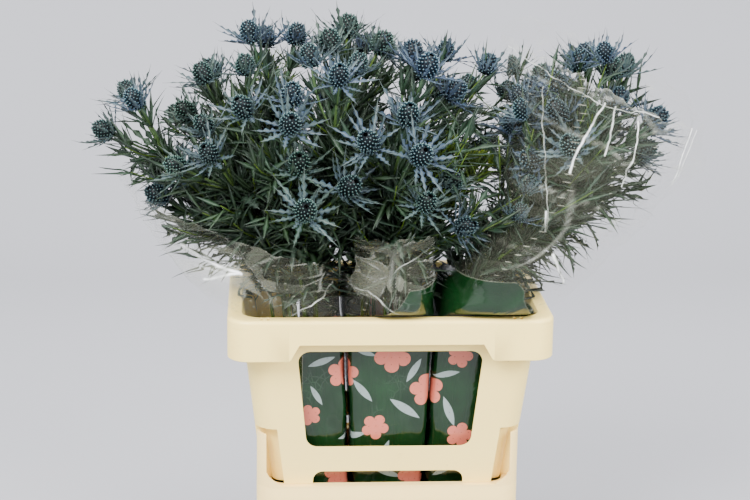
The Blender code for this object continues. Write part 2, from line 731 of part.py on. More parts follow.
def make_water(sprays, finish):
    """The water, with a plain hole for each stem."""
    def level(height):
        half = leaning(BUCKET_HALF, BUCKET_SLOPE, height)
        inwards = WALL + GAP * 2
        return at_height(outline(half[0] - inwards, half[1] - inwards, 0.0148), height)

    water = add_object("water", *loft([level(FLOOR + GAP), level(WATER_TOP)], caps=True), finish)
    holes = []
    for k, spray in enumerate(sprays):
        spot = stem_spot(spray, WATER_TOP)
        reach = (STEM_HALF * math.sqrt(2) + HOLE_GAP) * math.sqrt(2)
        corners = [
            (spot.x + reach * math.cos(angle), spot.y + reach * math.sin(angle))
            for angle in (math.pi / 2 * m for m in range(4))
        ]
        holes.append(prism(f"hole_{k}", corners, 0.0, WATER_TOP + 0.02, across_y=False))
    cut_or_join(water, holes, "DIFFERENCE")
    return water


def solid_of(thing):
    """An object's points and faces."""
    return [v.co.copy() for v in thing.data.vertices], [tuple(p.vertices) for p in thing.data.polygons]


def main():
    for thing in list(bpy.data.objects):
        bpy.data.objects.remove(thing)
    rng = np.random.default_rng(SEED)
    cream = material("cream_plastic", (0.84, 0.77, 0.58), 0.45)
    pink_cream = material("pinkish_cream_plastic", (0.85, 0.75, 0.60), 0.45)
    clear = material("clear_film", (0.85, 0.88, 0.86), 0.12, 0.25)
    wet = material("water", (0.60, 0.70, 0.70), 0.05, 0.4)
    blue = material("sea_holly", (0.22, 0.32, 0.36), 0.6)
    lime = material("young_sea_holly", (0.45, 0.55, 0.18), 0.6)
    make_bucket(pink_cream)
    collar = make_collar(cream)
    sleeves = [
        make_sleeve(name, side, clear)
        for name, side in (("sleeve_left", -1), ("sleeve_centre", 0), ("sleeve_right", 1))
    ]
    sprays = plan_sprays(rng)
    make_water(sprays, wet)
    plants = [grow_spray(spray, rng) for spray in sprays]
    pull_blades(plants, [solid_of(thing) for thing in [collar, *sleeves]], rng)
    number = {"spray": 0, "young_spray": 0}
    for spray, plant in zip(sprays, plants):
        kind = "young_spray" if spray.get("young") else "spray"
        number[kind] += 1
        name = f"{kind}_{number[kind]}" if spray.get("young") else f"{kind}_{number[kind]:02d}"
        add_object(name, plant.verts, plant.faces.values(), lime if spray.get("young") else blue)


main()
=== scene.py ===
"""Looks for cut sea holly in clear film sleeves, standing in a two-part flower container.

Metres, +Z up, and -Y is the front. The plants' places follow the same seeded rule as the solids.
"""

import json
import math

import bpy
import numpy as np
from mathutils import Euler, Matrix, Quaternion, Vector

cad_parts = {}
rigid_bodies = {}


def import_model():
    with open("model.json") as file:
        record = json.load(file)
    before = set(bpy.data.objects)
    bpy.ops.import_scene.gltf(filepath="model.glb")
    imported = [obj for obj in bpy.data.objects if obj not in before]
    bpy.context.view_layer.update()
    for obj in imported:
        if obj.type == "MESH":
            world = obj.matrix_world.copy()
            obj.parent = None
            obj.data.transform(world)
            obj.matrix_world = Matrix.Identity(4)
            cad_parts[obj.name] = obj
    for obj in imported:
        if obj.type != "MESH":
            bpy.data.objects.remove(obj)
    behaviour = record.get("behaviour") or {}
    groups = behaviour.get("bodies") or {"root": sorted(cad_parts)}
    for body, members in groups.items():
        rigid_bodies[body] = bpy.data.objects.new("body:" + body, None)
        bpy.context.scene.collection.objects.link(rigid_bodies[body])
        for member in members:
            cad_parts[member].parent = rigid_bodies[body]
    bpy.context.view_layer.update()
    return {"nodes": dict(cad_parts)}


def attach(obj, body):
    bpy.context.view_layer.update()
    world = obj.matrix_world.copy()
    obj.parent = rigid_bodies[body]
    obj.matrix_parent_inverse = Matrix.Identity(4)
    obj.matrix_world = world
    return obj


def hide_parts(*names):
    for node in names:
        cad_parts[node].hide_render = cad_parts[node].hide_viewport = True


for thing in list(bpy.data.objects):
    bpy.data.objects.remove(thing)
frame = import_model()

UP = np.array((0.0, 0.0, 1.0))
GOLDEN_ANGLE = math.pi * (3.0 - math.sqrt(5.0))

# Container
GAP = 0.0003
WALL = 0.0025
LEDGE_HEIGHT = 0.200
BUCKET_HALF, BUCKET_SLOPE = (0.1320, 0.0870), 0.0625
LEDGE_HALF, LEDGE_SKIRT = (0.1610, 0.1160), 0.045
FLOOR = 0.003
POST_TOP, POST_WALL = 0.267, 0.003
POST_WIDE_X, POST_WIDE_Y = 0.012, 0.027
COLLAR_HALF, COLLAR_SLOPE = (0.1540, 0.1020), 0.120
RIM_HEIGHT, RIM_HALF, RIM_CORNER = 0.420, (0.1950, 0.1450), 0.028
SKIRT_DEEP, SKIRT_SHALLOW = 0.050, 0.030
STEP_HEIGHT, CORNER_RADIUS, CORNER_SETBACK = 0.272, 0.027, 0.012
WINDOW_BOTTOM, WINDOW_TOP = 0.250, 0.376
WINDOW_HALF_BOTTOM, WINDOW_HALF_TOP, WINDOW_CORNER = 0.101, 0.1105, 0.014
ARCH_TOP, ARCH_HALF, ARCH_CORNER = 0.217, 0.092, 0.012

# Film sleeves
FILM_LEVELS = (0.0453, 0.200, 0.412, 0.4215, 0.427, 0.440, 0.475, 0.530, 0.590, 0.760)
FILM_OUTER = {
    -1: (0.114, 0.134, 0.166, 0.172, 0.198, 0.224, 0.258, 0.296, 0.326, 0.338),
    1: (0.114, 0.134, 0.166, 0.172, 0.196, 0.224, 0.270, 0.320, 0.378, 0.388),
}
FILM_INNER = {
    -1: (0.042, 0.048, 0.057, 0.057, 0.057, 0.058, 0.064, 0.080, 0.090, 0.100),
    1: (0.042, 0.048, 0.057, 0.057, 0.057, 0.060, 0.078, 0.115, 0.138, 0.150),
}
FILM_CENTRE_HALF = (0.038, 0.044, 0.053, 0.053, 0.053, 0.055, 0.061, 0.074, 0.082, 0.085)
FILM_DEPTH_HALF = (0.066, 0.086, 0.104, 0.1215, 0.146, 0.154, 0.164, 0.182, 0.198, 0.200)
FILM_SQUARENESS = (14.0, 14.0, 14.0, 6.0, 4.0, 3.4, 2.8, 2.5, 2.3, 2.1)
FILM_CLEAR = 0.004  # between plants and film
STEM_SPREAD, NECK_AT, NECK_FROM = 0.68, 0.412, 0.36  # the neck leans on from below it
WATER_TOP = 0.045

# Plain motifs of the film's print: middle (x, z), petal or leaf length, turn
BLOSSOMS = (
    (-0.056, 0.340, 0.019, 10), (0.004, 0.364, 0.023, 50), (0.046, 0.318, 0.021, 25),
    (0.086, 0.362, 0.016, 70), (-0.096, 0.286, 0.014, 35), (0.088, 0.258, 0.017, 0),
    (-0.016, 0.270, 0.017, 60), (-0.060, 0.206, 0.018, 20), (0.030, 0.204, 0.017, 40),
)
PRINT_LEAVES = (
    (-0.082, 0.356, 0.036, 20), (-0.032, 0.318, 0.038, -50), (0.030, 0.344, 0.036, 60),
    (0.020, 0.294, 0.046, -35), (0.070, 0.338, 0.034, 10), (0.074, 0.290, 0.042, -70),
    (-0.044, 0.258, 0.036, 15), (-0.004, 0.236, 0.034, 70), (-0.088, 0.312, 0.030, -60),
    (-0.030, 0.368, 0.030, -20), (0.000, 0.208, 0.036, -20), (0.070, 0.212, 0.034, 30),
)

# Painted white glints along folds on the film's front: from and to (x, z), half width, strength
FOLD_GLINTS = (
    ((0.337, 0.660), (0.316, 0.588), 0.0020, 1.0), ((0.346, 0.651), (0.318, 0.589), 0.0018, 1.0),
    ((0.230, 0.690), (0.198, 0.606), 0.0024, 0.95), ((0.242, 0.687), (0.235, 0.629), 0.0018, 0.8),
    ((0.269, 0.669), (0.264, 0.623), 0.0018, 0.9), ((0.264, 0.623), (0.256, 0.594), 0.0014, 0.8),
    ((0.184, 0.505), (0.201, 0.470), 0.0034, 0.95), ((0.173, 0.559), (0.174, 0.535), 0.0024, 0.8),
    ((0.170, 0.698), (0.176, 0.538), 0.0014, 0.45), ((-0.246, 0.514), (-0.212, 0.493), 0.0046, 1.0),
    ((-0.212, 0.493), (-0.179, 0.482), 0.0050, 1.0), ((-0.179, 0.482), (-0.221, 0.476), 0.0044, 0.95),
    ((0.124, 0.740), (0.226, 0.688), 0.0012, 0.6), ((0.226, 0.688), (0.328, 0.667), 0.0012, 0.6),
    ((-0.127, 0.424), (-0.068, 0.451), 0.0016, 0.6), ((-0.068, 0.451), (-0.030, 0.456), 0.0016, 0.5),
    ((-0.030, 0.456), (0.017, 0.423), 0.0018, 0.65), ((-0.024, 0.468), (0.119, 0.561), 0.0014, 0.5),
)

# Sprays
SEED = 183
SPRAYS_MAIN, SPRAYS_RIGHT = 20, 7
MAIN_DOME = {"centre": (-0.084, 0.0, 0.560), "half": (0.174, 0.156, 0.166), "widest": 95.0, "turn": 0.1}
RIGHT_DOME = {"centre": (0.244, 0.0, 0.590), "half": (0.070, 0.114, 0.116), "widest": 94.0, "turn": 0.9}
OUTLIER = {"centre": (-0.322, -0.020, 0.655), "axis": (-0.62, -0.10, 0.78)}
DOME_ROUNDNESS = 3.2
YOUNG, YOUNG_SIZE = (6, 13), 0.68
PLANT_SEED, FILM_SEED = 1000, 40
STEM_HALF, FORK_HALF, NECK_HALF = 0.0024, 0.0017, 0.0014
FORK_LENGTH, HEAD_SPREAD, HEAD_HALF_HEIGHT = 0.082, 0.031, 0.015


def unit(vectors):
    """Vectors scaled to a length of one."""
    return vectors / np.linalg.norm(vectors, axis=-1, keepdims=True)


def square_to(vectors, way):
    """Vectors with their part along a way taken out, scaled to a length of one."""
    return unit(vectors - way * np.sum(vectors * way, axis=-1, keepdims=True))


class Shape:
    """Points and faces that add up to one piece, with three numbers a point and a finish for each part."""

    def __init__(self):
        self.verts, self.growth, self.count = [], [], 0
        self.faces, self.slots = {3: [], 4: []}, {3: [], 4: []}

    def add(self, verts, faces, growth, slot=0):
        """Take in points (n, 3), faces (f, 3 or 4) or a list of such arrays, and growth (n, 3)."""
        verts = np.asarray(verts, float).reshape(-1, 3)
        for block in faces if isinstance(faces, list) else [faces]:
            sides = block.shape[-1]
            block = block.reshape(-1, sides)
            self.faces[sides].append(block + self.count)
            self.slots[sides].append(np.full(len(block), slot))
        self.verts.append(verts)
        self.growth.append(np.broadcast_to(growth, verts.shape).reshape(-1, 3))
        self.count += len(verts)

    def finish(self, name, finishes, sheet=None):
        """Make the object, with its growth numbers as a colour attribute and, on film, a map in metres."""
        mesh = bpy.data.meshes.new(name)
        verts = np.concatenate(self.verts)
        blocks = [np.concatenate(self.faces[n]) for n in (3, 4) if self.faces[n]]
        slots = np.concatenate([np.concatenate(self.slots[n]) for n in (3, 4) if self.faces[n]])
        corners = np.concatenate([block.ravel() for block in blocks])
        sizes = np.concatenate([np.full(len(block), block.shape[1]) for block in blocks])
        mesh.vertices.add(len(verts))
        mesh.vertices.foreach_set("co", verts.ravel())
        mesh.loops.add(len(corners))
        mesh.loops.foreach_set("vertex_index", corners)
        mesh.polygons.add(len(sizes))
        mesh.polygons.foreach_set("loop_start", np.concatenate([[0], np.cumsum(sizes)[:-1]]))
        mesh.polygons.foreach_set("material_index", slots)
        mesh.update(calc_edges=True)
        for finish in finishes:
            mesh.materials.append(finish)
        colours = np.ones((len(verts), 4))
        colours[:, :3] = np.concatenate(self.growth)
        mesh.attributes.new("growth", "FLOAT_COLOR", "POINT").data.foreach_set("color", colours.ravel())
        if sheet is not None:
            mesh.uv_layers.new(name="sheet").data.foreach_set("uv", sheet[corners].ravel())
        mesh.polygons.foreach_set("use_smooth", np.full(len(sizes), True))
        made = bpy.data.objects.new(name, mesh)
        bpy.context.scene.collection.objects.link(made)
        return made


def grid_faces(rows, columns, around=False):
    """Quads between the points of a grid of rows, closed round to the first column if asked."""
    across = columns if around else columns - 1
    r, c = np.meshgrid(np.arange(rows - 1), np.arange(across), indexing="ij")
    n = (c + 1) % columns
    low, high = r * columns, (r + 1) * columns
    return np.stack([low + c, low + n, high + n, high + c], -1).reshape(-1, 4)


def repeated(faces, count, step):
    """The same faces for a number of copies whose points follow each other."""
    return (faces[None] + step * np.arange(count)[:, None, None]).reshape(-1, faces.shape[1])


def linear(code):
    """An sRGB hex colour as linear red, green, blue and alpha."""
    parts = [int(code[k : k + 2], 16) / 255 for k in (1, 3, 5)]
    return (*[c / 12.92 if c <= 0.04045 else ((c + 0.055) / 1.055) ** 2.4 for c in parts], 1.0)


def node(material, kind, inputs=(), out=0, stops=(), **settings):
    """Add a shader node, or use one that is there. A kind may name its operation after a point. Inputs go by
    order or name, each a number, a colour or another node's output. A ramp's stops are (place, hex colour).
    Gives the output asked for, or a list."""
    tree, made = material.node_tree, kind
    if isinstance(kind, str):
        kind, _, operation = kind.partition(".")
        made = tree.nodes.new("ShaderNode" + kind)
        if operation:
            made.operation = operation
    for key, value in settings.items():
        setattr(made, key, value)
    for key, value in inputs.items() if isinstance(inputs, dict) else enumerate(inputs):
        if isinstance(value, bpy.types.NodeSocket):
            tree.links.new(value, made.inputs[key])
        else:
            made.inputs[key].default_value = value
    for k, (place, code) in enumerate(stops):
        mark = made.color_ramp.elements[k] if k < 2 else made.color_ramp.elements.new(place)
        mark.position, mark.color = place, linear(code)
    return [made.outputs[k] for k in out] if isinstance(out, list) else made.outputs[out]


def new_material(name):
    """A material with only its Principled shader and output."""
    made = bpy.data.materials.new(name)
    made.use_nodes = True
    return made, made.node_tree.nodes["Principled BSDF"]


def moulded_plastic(name, colour, shade, worn):
    """Polypropylene, injection moulded: satin, with clouds, dull scuffs and a grain that breaks the gloss."""
    m, shader = new_material(name)
    place = node(m, "TexCoord", out="Object")
    clouds = node(m, "TexNoise", {"Vector": place, "Scale": 9.0, "Detail": 3.0})
    stretched = node(m, "Mapping", {"Vector": place, "Scale": (1.0, 1.0, 5.0)})
    scuffs = node(m, "TexNoise", {"Vector": stretched, "Scale": 26.0, "Detail": 8.0, "Roughness": 0.72})
    marks = node(m, "MapRange", {0: scuffs, 1: 0.58, 2: 0.80})
    specks = node(m, "TexNoise", {"Vector": place, "Scale": 160.0, "Detail": 4.0, "Roughness": 0.7})
    dirt = node(m, "MapRange", {0: specks, 1: 0.66, 2: 0.74, 4: 0.35})
    base = node(m, "Mix", {0: clouds, 6: linear(shade), 7: linear(colour)}, 2, data_type="RGBA")
    half_marks = node(m, "Math.MULTIPLY", (marks, 0.5))
    base = node(m, "Mix", {0: half_marks, 6: base, 7: linear(worn)}, 2, data_type="RGBA")
    base = node(m, "Mix", {0: dirt, 6: base, 7: linear("#A99A78")}, 2, data_type="RGBA")
    grain = node(m, "TexNoise", {"Vector": place, "Scale": 900.0, "Detail": 2.0})
    wave = node(m, "TexNoise", {"Vector": place, "Scale": 30.0, "Detail": 2.0})
    low = node(m, "Bump", {"Height": wave, "Strength": 0.12, "Distance": 0.004})
    fine = node(m, "Bump", {"Height": grain, "Strength": 0.10, "Distance": 0.0003, "Normal": low})
    rough = node(m, "Math.MULTIPLY_ADD", (marks, 0.18, 0.36))
    node(m, shader, {"Base Color": base, "Roughness": rough, "Normal": fine, "IOR": 1.49,
                     "Subsurface Weight": 0.08, "Subsurface Radius": (0.004, 0.003, 0.002)})
    return m


def plant_skin(name, stops, other_stops, rough, vein):
    """A waxy plant surface: its colour runs along the growth's red number, drifts to another set by the green
    one, and lightens near the rib by the blue one. Fine cells break the gloss."""
    m, shader = new_material(name)
    growth = node(m, "VertexColor", layer_name="growth")
    along, drift, edge = node(m, "SeparateColor", (growth,), [0, 1, 2])
    place = node(m, "TexCoord", out="Object")
    blotch = node(m, "TexNoise", {"Vector": place, "Scale": 120.0, "Detail": 3.0})
    shift = node(m, "Math.SUBTRACT", (drift, 0.35))
    shift = node(m, "Math.MULTIPLY_ADD", (blotch, 0.7, shift), use_clamp=True)
    one = node(m, "ValToRGB", (along,), stops=stops)
    other = node(m, "ValToRGB", (along,), stops=other_stops)
    base = node(m, "Mix", {0: shift, 6: one, 7: other}, 2, data_type="RGBA")
    rib = node(m, "MapRange", {0: edge, 1: 0.0, 2: 1.0, 3: vein, 4: 0.0})
    base = node(m, "Mix", {0: rib, 6: base, 7: linear("#C9D8C8")}, 2, data_type="RGBA")
    patch = node(m, "TexNoise", {"Vector": place, "Scale": 14.0, "Detail": 2.0})
    bright = node(m, "MapRange", {0: patch, 1: 0.3, 2: 0.7, 3: 0.15, 4: 0.29})
    base = node(m, "HueSaturation", {"Saturation": 1.3, "Value": bright, "Color": base})
    cells = node(m, "TexNoise", {"Vector": place, "Scale": 600.0, "Detail": 2.0})
    normal = node(m, "Bump", {"Height": cells, "Strength": 0.25, "Distance": 0.0006})
    node(m, shader, {"Base Color": base, "Normal": normal, "Roughness": rough, "IOR": 1.45,
                     "Specular IOR Level": 0.22})
    return m


def printed_film(name):
    """Polypropylene film, cast 0.04 mm thick, pierced and crumpled: see-through and glossy, with flat facets
    that each get a painted grey reflection, painted white glints along creases and folds, and near its foot a
    dark green print of blossoms and leaves."""
    m, shader = new_material(name)
    sheet = node(m, "UVMap", uv_map="sheet")
    growth = node(m, "VertexColor", layer_name="growth")
    # Red: painted glint of the crumples' ridges and upper edge; green: print; blue: how crumpled the film
    # looks
    crease_glint, print_edge, crumpled = node(m, "SeparateColor", (growth,), [0, 1, 2])
    place = node(m, "TexCoord", out="Object")
    blossom, leaf = print_motifs(m, place)
    mottle = node(m, "TexNoise", {"Vector": sheet, "Scale": 16.0, "Detail": 4.0, "Roughness": 0.6})
    paint = node(m, "ValToRGB", (mottle,), stops=[(0.30, "#061C0A"), (0.55, "#09260E"), (0.75, "#0E3315")])
    paint = node(m, "Mix", {0: leaf, 6: paint, 7: linear("#7B8784")}, 2, data_type="RGBA")
    paint = node(m, "Mix", {0: blossom, 6: paint, 7: linear("#B86350")}, 2, data_type="RGBA")
    printed = node(m, "MapRange", {0: print_edge, 1: 0.50, 2: 0.52})
    # Holes 1 mm wide and 9 mm apart
    hole = {"Vector": sheet, "Scale": 111.0, "Randomness": 0.12}
    hole = node(m, "TexVoronoi", hole, voronoi_dimensions="2D")
    hole = node(m, "MapRange", {0: hole, 1: 0.05, 2: 0.085, 3: 1.0, 4: 0.0})
    # Crumples: facets of 40 mm and 16 mm, each turned its own way, with creases between; the creases carry
    # painted white glints and each facet a painted grey reflection
    bent = node(m, "TexNoise", {"Vector": sheet, "Scale": 14.0, "Detail": 3.0}, "Color")
    bent = node(m, "VectorMath.MULTIPLY", (bent, (0.045, 0.045, 0.0)))
    bent = node(m, "VectorMath.ADD", (sheet, bent))
    crease_glints, facets = [], []
    for scale in (26.0, 62.0):
        edge = node(m, "TexVoronoi", {"Vector": bent, "Scale": scale}, voronoi_dimensions="2D",
                    feature="DISTANCE_TO_EDGE")
        crease_glints.append(node(m, "MapRange", {0: edge, 1: 0.0, 2: scale * 0.0011, 3: 1.0, 4: 0.0}))
        facet = node(m, "TexVoronoi", {"Vector": bent, "Scale": scale}, "Color", voronoi_dimensions="2D")
        facets.append(node(m, "SeparateColor", (facet,)))
    some = node(m, "TexNoise", {"Vector": sheet, "Scale": 31.0, "Detail": 1.0})
    some = node(m, "MapRange", {0: some, 1: 0.42, 2: 0.60})
    fine = node(m, "Math.MULTIPLY", (node(m, "Math.MAXIMUM", (crease_glints[0], crease_glints[1])), some))
    fine = node(m, "Math.MULTIPLY", (fine, node(m, "Math.MULTIPLY", (crumpled, 0.75))))
    # Painted glint strength: the growth colour's ridge and edge glints, with the fine creases' painted glints
    painted_glint = node(m, "Math.MAXIMUM", (node(m, "Math.MULTIPLY", (crease_glint, 0.30)), fine))
    # Painted white glints along the front's folds
    front = painted_fold_glints(m)
    painted_glint = node(m, "Math.MAXIMUM", (painted_glint, front))
    # Painted grey reflection, a different one on each facet, stronger where the film is crumpled
    painted_facet_reflection = node(m, "Math.MULTIPLY", (facets[0], facets[1]))
    painted_facet_reflection = node(m, "MapRange", {0: painted_facet_reflection, 1: 0.20, 2: 0.62, 3: 0.02, 4: 0.34})
    painted_facet_reflection = node(m, "Math.MULTIPLY", (painted_facet_reflection, node(m, "MapRange", {0: crumpled, 3: 0.06, 4: 1.0})))
    # The film's own faint haze, with the painted facet reflections added to it
    haze_and_facet_reflection = node(m, "Math.ADD", (painted_facet_reflection, 0.030))
    pin = node(m, "Math.MULTIPLY", (hole, 0.35))
    clear = node(m, "Math.MAXIMUM", (node(m, "Math.MAXIMUM", (haze_and_facet_reflection, painted_glint)), pin))
    alpha = node(m, "Math.MAXIMUM", (clear, node(m, "Math.MULTIPLY", (printed, 0.985))))
    # The clear film's grey-beige, turning to a painted white where the glints are
    film_tone_and_glint = node(m, "ValToRGB", (painted_glint,), stops=[(0.0, "#A6A793"), (0.5, "#CDD1C8"), (1.0, "#FFFFFF")])
    base = node(m, "Mix", {0: printed, 6: film_tone_and_glint, 7: paint}, 2, data_type="RGBA")
    # Painted shade: holes in the print darkened for the shaded inside seen through them
    painted_hole_shade = node(m, "Math.MULTIPLY", (node(m, "Math.MULTIPLY", (hole, printed)), 0.6))
    base = node(m, "Mix", {0: painted_hole_shade, 6: base, 7: linear("#0B1F10")}, 2, data_type="RGBA")
    # Painted glints lighten the print as well
    glint_on_print = node(m, "Math.MULTIPLY", (node(m, "Math.MULTIPLY", (printed, painted_glint)), 0.30))
    base = node(m, "Mix", {0: glint_on_print, 6: base, 7: linear("#DCE6DE")}, 2, data_type="RGBA")
    height = node(m, "TexNoise", {"Vector": bent, "Scale": 40.0, "Detail": 3.0})
    height = node(m, "Math.ADD", (facets[0], height))
    normal = node(m, "Bump", {"Height": height, "Strength": 0.35, "Distance": 0.004})
    node(m, shader, {"Base Color": base, "Alpha": alpha, "Normal": normal, "Roughness": 0.15, "IOR": 1.49})
    return m


def print_motifs(m, place):
    """Blossoms of five round lobes and pointed oval leaves, each about its own middle in X and Z."""
    flat = node(m, "VectorMath.MULTIPLY", (place, (1.0, 0.0, 1.0)))
    masks = {}
    for kind, motifs in (("blossom", BLOSSOMS), ("leaf", PRINT_LEAVES)):
        for x, z, size, degrees in motifs:
            away, turn = node(m, "VectorMath.SUBTRACT", (flat, (x, 0.0, z))), math.radians(degrees)
            away = node(m, "VectorRotate", {"Vector": away, "Axis": (0.0, 1.0, 0.0), "Angle": turn})
            u, v = node(m, "SeparateXYZ", (away,), [0, 2])
            if kind == "blossom":
                angle = node(m, "Math.MULTIPLY", (node(m, "Math.ARCTAN2", (v, u)), 2.5))
                lobes = node(m, "Math.ABSOLUTE", (node(m, "Math.COSINE", (angle,)),))
                lobes = node(m, "Math.POWER", (lobes, 0.5))
                end = node(m, "Math.MULTIPLY_ADD", (lobes, size * 0.45, size * 0.55))
                inside = node(m, "Math.SUBTRACT", (end, node(m, "VectorMath.LENGTH", (away,), "Value")))
            else:
                along = node(m, "Math.DIVIDE", (u, size / 2))
                squared = node(m, "Math.MULTIPLY", (along, along))
                bulge = node(m, "Math.MULTIPLY_ADD", (squared, -size * 0.12, size * 0.12))
                inside = node(m, "Math.SUBTRACT", (bulge, node(m, "Math.ABSOLUTE", (v,))))
            mask = node(m, "MapRange", {0: inside, 1: 0.0, 2: 0.0004})
            masks[kind] = node(m, "Math.MAXIMUM", (masks[kind], mask)) if kind in masks else mask
    return masks["blossom"], masks["leaf"]


def painted_fold_glints(m):
    """Painted white glints along folds on the front of the film, each the near side of a straight line in the
    X and Z plane.
    """
    place = node(m, "TexCoord", out="Object")
    flat = node(m, "VectorMath.MULTIPLY", (place, (1.0, 0.0, 1.0)))
    waver = node(m, "TexNoise", {"Vector": place, "Scale": 30.0, "Detail": 2.0}, "Color")
    waver = node(m, "VectorMath.SUBTRACT", (waver, (0.5, 0.5, 0.5)))
    flat = node(m, "VectorMath.MULTIPLY_ADD", (waver, (0.012, 0.0, 0.012), flat))
    total = None
    for (x0, z0), (x1, z1), wide, strong in FOLD_GLINTS:
        start, run = (x0, 0.0, z0), (x1 - x0, 0.0, z1 - z0)
        from_start = node(m, "VectorMath.SUBTRACT", (flat, start))
        share = node(m, "VectorMath.DOT_PRODUCT", (from_start, run), "Value")
        share = node(m, "Math.DIVIDE", (share, run[0] ** 2 + run[2] ** 2), use_clamp=True)
        nearest = node(m, "VectorMath.SCALE", {0: run, "Scale": share})
        apart = node(m, "VectorMath.DISTANCE", (from_start, nearest), "Value")
        line = node(m, "MapRange", {0: apart, 1: wide * 0.15, 2: wide * 0.75, 3: strong, 4: 0.0})
        total = line if total is None else node(m, "Math.MAXIMUM", (total, line))
    ahead = node(m, "MapRange", {0: node(m, "SeparateXYZ", (place,), 1), 1: -0.03, 2: 0.0, 3: 1.0, 4: 0.0})
    patchy = node(m, "TexNoise", {"Vector": place, "Scale": 42.0})
    patchy = node(m, "MapRange", {0: patchy, 1: 0.32, 2: 0.58, 3: 0.35})
    return node(m, "Math.MULTIPLY", (node(m, "Math.MULTIPLY", (total, ahead)), patchy))


def still_water(name):
    """Water with a little plant dust: a green-grey tint, with a sharp gloss and faint ripples."""
    m, shader = new_material(name)
    place = node(m, "TexCoord", out="Object")
    ripples = node(m, "TexNoise", {"Vector": place, "Scale": 25.0, "Detail": 2.0})
    normal = node(m, "Bump", {"Height": ripples, "Strength": 0.2, "Distance": 0.001})
    tint = node(m, "Mix", {0: ripples, 6: linear("#7D8A72"), 7: linear("#93A08A")}, 2, data_type="RGBA")
    node(m, shader, {"Base Color": tint, "Normal": normal, "Roughness": 0.04, "IOR": 1.333})
    return m


# Container: finer walls and rounded edges on the solids' own outlines

CORNER_STEPS, EDGE = 10, 0.0006  # points round a corner, and an edge's rounding
# Places along the straight sides, with pairs where the collar's skirt changes depth
ALONG_X = np.array((0.90, 0.73, 0.715, 0.67, 0.655, 0.40, 0.13))
ALONG_X = np.concatenate([ALONG_X, -ALONG_X[::-1]])
ALONG_Y = np.array((0.6, 0.2, -0.2, -0.6))
SLOTS_X, SLOTS_Y, SLOT_HALF = (-0.154, -0.146, 0.146, 0.154), (-0.135, 0.135), (0.0016, 0.0045)


def outline(half_x, half_y, radius, setback=0.0, inset=0.0):
    """Points round a rounded rectangle from the +X side: an arc at each corner, or a notch set back behind
    both sides, and the straight sides' points between them."""
    turns = np.linspace(0, 90, CORNER_STEPS)
    reaches, insets = np.full(CORNER_STEPS, radius - setback), np.zeros(CORNER_STEPS)
    reaches[[0, -1]] = radius
    if setback:
        turns = np.array([0, 0, *np.linspace(30, 60, CORNER_STEPS - 4), 90, 90])
        insets[:2], insets[-2:] = -inset, inset
    straight_x, straight_y = half_x - radius, half_y - radius
    points = []
    for quarter, (side_x, side_y) in enumerate(((1, 1), (-1, 1), (-1, -1), (1, -1))):
        angle = np.radians(90 * quarter + turns)
        points.append(np.stack([
            side_x * straight_x + reaches * np.cos(angle) - insets * np.sin(angle),
            side_y * straight_y + reaches * np.sin(angle) + insets * np.cos(angle),
        ], -1))
        straight = side_x * ALONG_X * straight_x, np.full(len(ALONG_X), side_y * half_y)
        if quarter in (1, 3):
            straight = np.full(len(ALONG_Y), side_x * half_x), side_y * ALONG_Y * straight_y
        points.append(np.stack(straight, -1))
    return np.concatenate(points)


def at_height(points, height):
    """An outline's points at one height, or at a height for each."""
    return np.column_stack([points, np.broadcast_to(height, len(points))])


def leaning(half, slope, height, base=0.0):
    """Half sizes of a leaning wall at a height."""
    return half[0] + slope * (height - base), half[1] + slope * (height - base)


def turned_edge(make, top, inwards, rounding, steps):
    """Rings that round an edge over by a quarter circle, from a wall's face to its top."""
    low, turns = top - rounding, np.linspace(0, math.pi / 2, steps)
    return [make(inwards + rounding * (1 - math.cos(a)), low + rounding * math.sin(a)) for a in turns]


def shell(name, rings, finish, caps=False):
    """A closed wall from its rings, closed round to the first ring, or capped at both ends."""
    rings = np.array(rings)
    rows, columns = rings.shape[:2]
    verts, faces = rings.reshape(-1, 3), grid_faces(rows + 1, columns, True) % (rows * columns)
    if caps:
        verts = np.concatenate([verts, rings[[0, -1]].mean(axis=1)])
        k = np.arange(columns)
        n, last = (k + 1) % columns, (rows - 1) * columns
        low, high = np.full((2, columns), [[rows * columns], [rows * columns + 1]])
        fans = np.concatenate([np.stack([n, k, low], -1), np.stack([k + last, n + last, high], -1)])
        faces = [grid_faces(rows, columns, True), fans]
    shape = Shape()
    shape.add(verts, faces, (0, 0, 0))
    return shape.finish(name, [finish])


def profile_cutter(points, near, far):
    """A cutter from a profile of (across, height) points pushed along Y from one place to another."""
    points = np.array(points)[::-1]
    rings = [np.column_stack([points[:, 0], np.full(len(points), y), points[:, 1]]) for y in (near, far)]
    return shell("cutter", rings, None, caps=True)


def rounded_profile(half_low, half_high, low, high, radius, steps=9, round_foot=True):
    """A four-sided profile, wider or narrower at the top, with round corners, anticlockwise."""
    points = []
    for x, z, start, is_round in (
        (-half_low, low, 180, round_foot), (half_low, low, 270, round_foot),
        (half_high, high, 0, True), (-half_high, high, 90, True),
    ):
        if not is_round:
            points.append((x, z))
            continue
        centre_x = x - math.copysign(radius, x)
        centre_z = z + (radius if z == low else -radius)
        angles = np.radians(start + np.linspace(0, 90, steps))
        points += list(zip(centre_x + radius * np.cos(angles), centre_z + radius * np.sin(angles)))
    return points


def cut(target, cutters, operation="DIFFERENCE"):
    """Apply Booleans of closed shapes to the target, and remove the shapes."""
    for cutter in cutters:
        step = target.modifiers.new("cut", "BOOLEAN")
        step.operation, step.object, step.solver = operation, cutter, "EXACT"
        with bpy.context.temp_override(object=target, active_object=target, selected_objects=[target]):
            bpy.ops.object.modifier_apply(modifier=step.name)
        bpy.data.objects.remove(cutter)


def sharpen(thing):
    """Smooth shading that keeps the edges sharper than 32 degrees."""
    thing.data.shade_smooth()
    thing.data.set_sharp_from_angle(angle=math.radians(32.0))


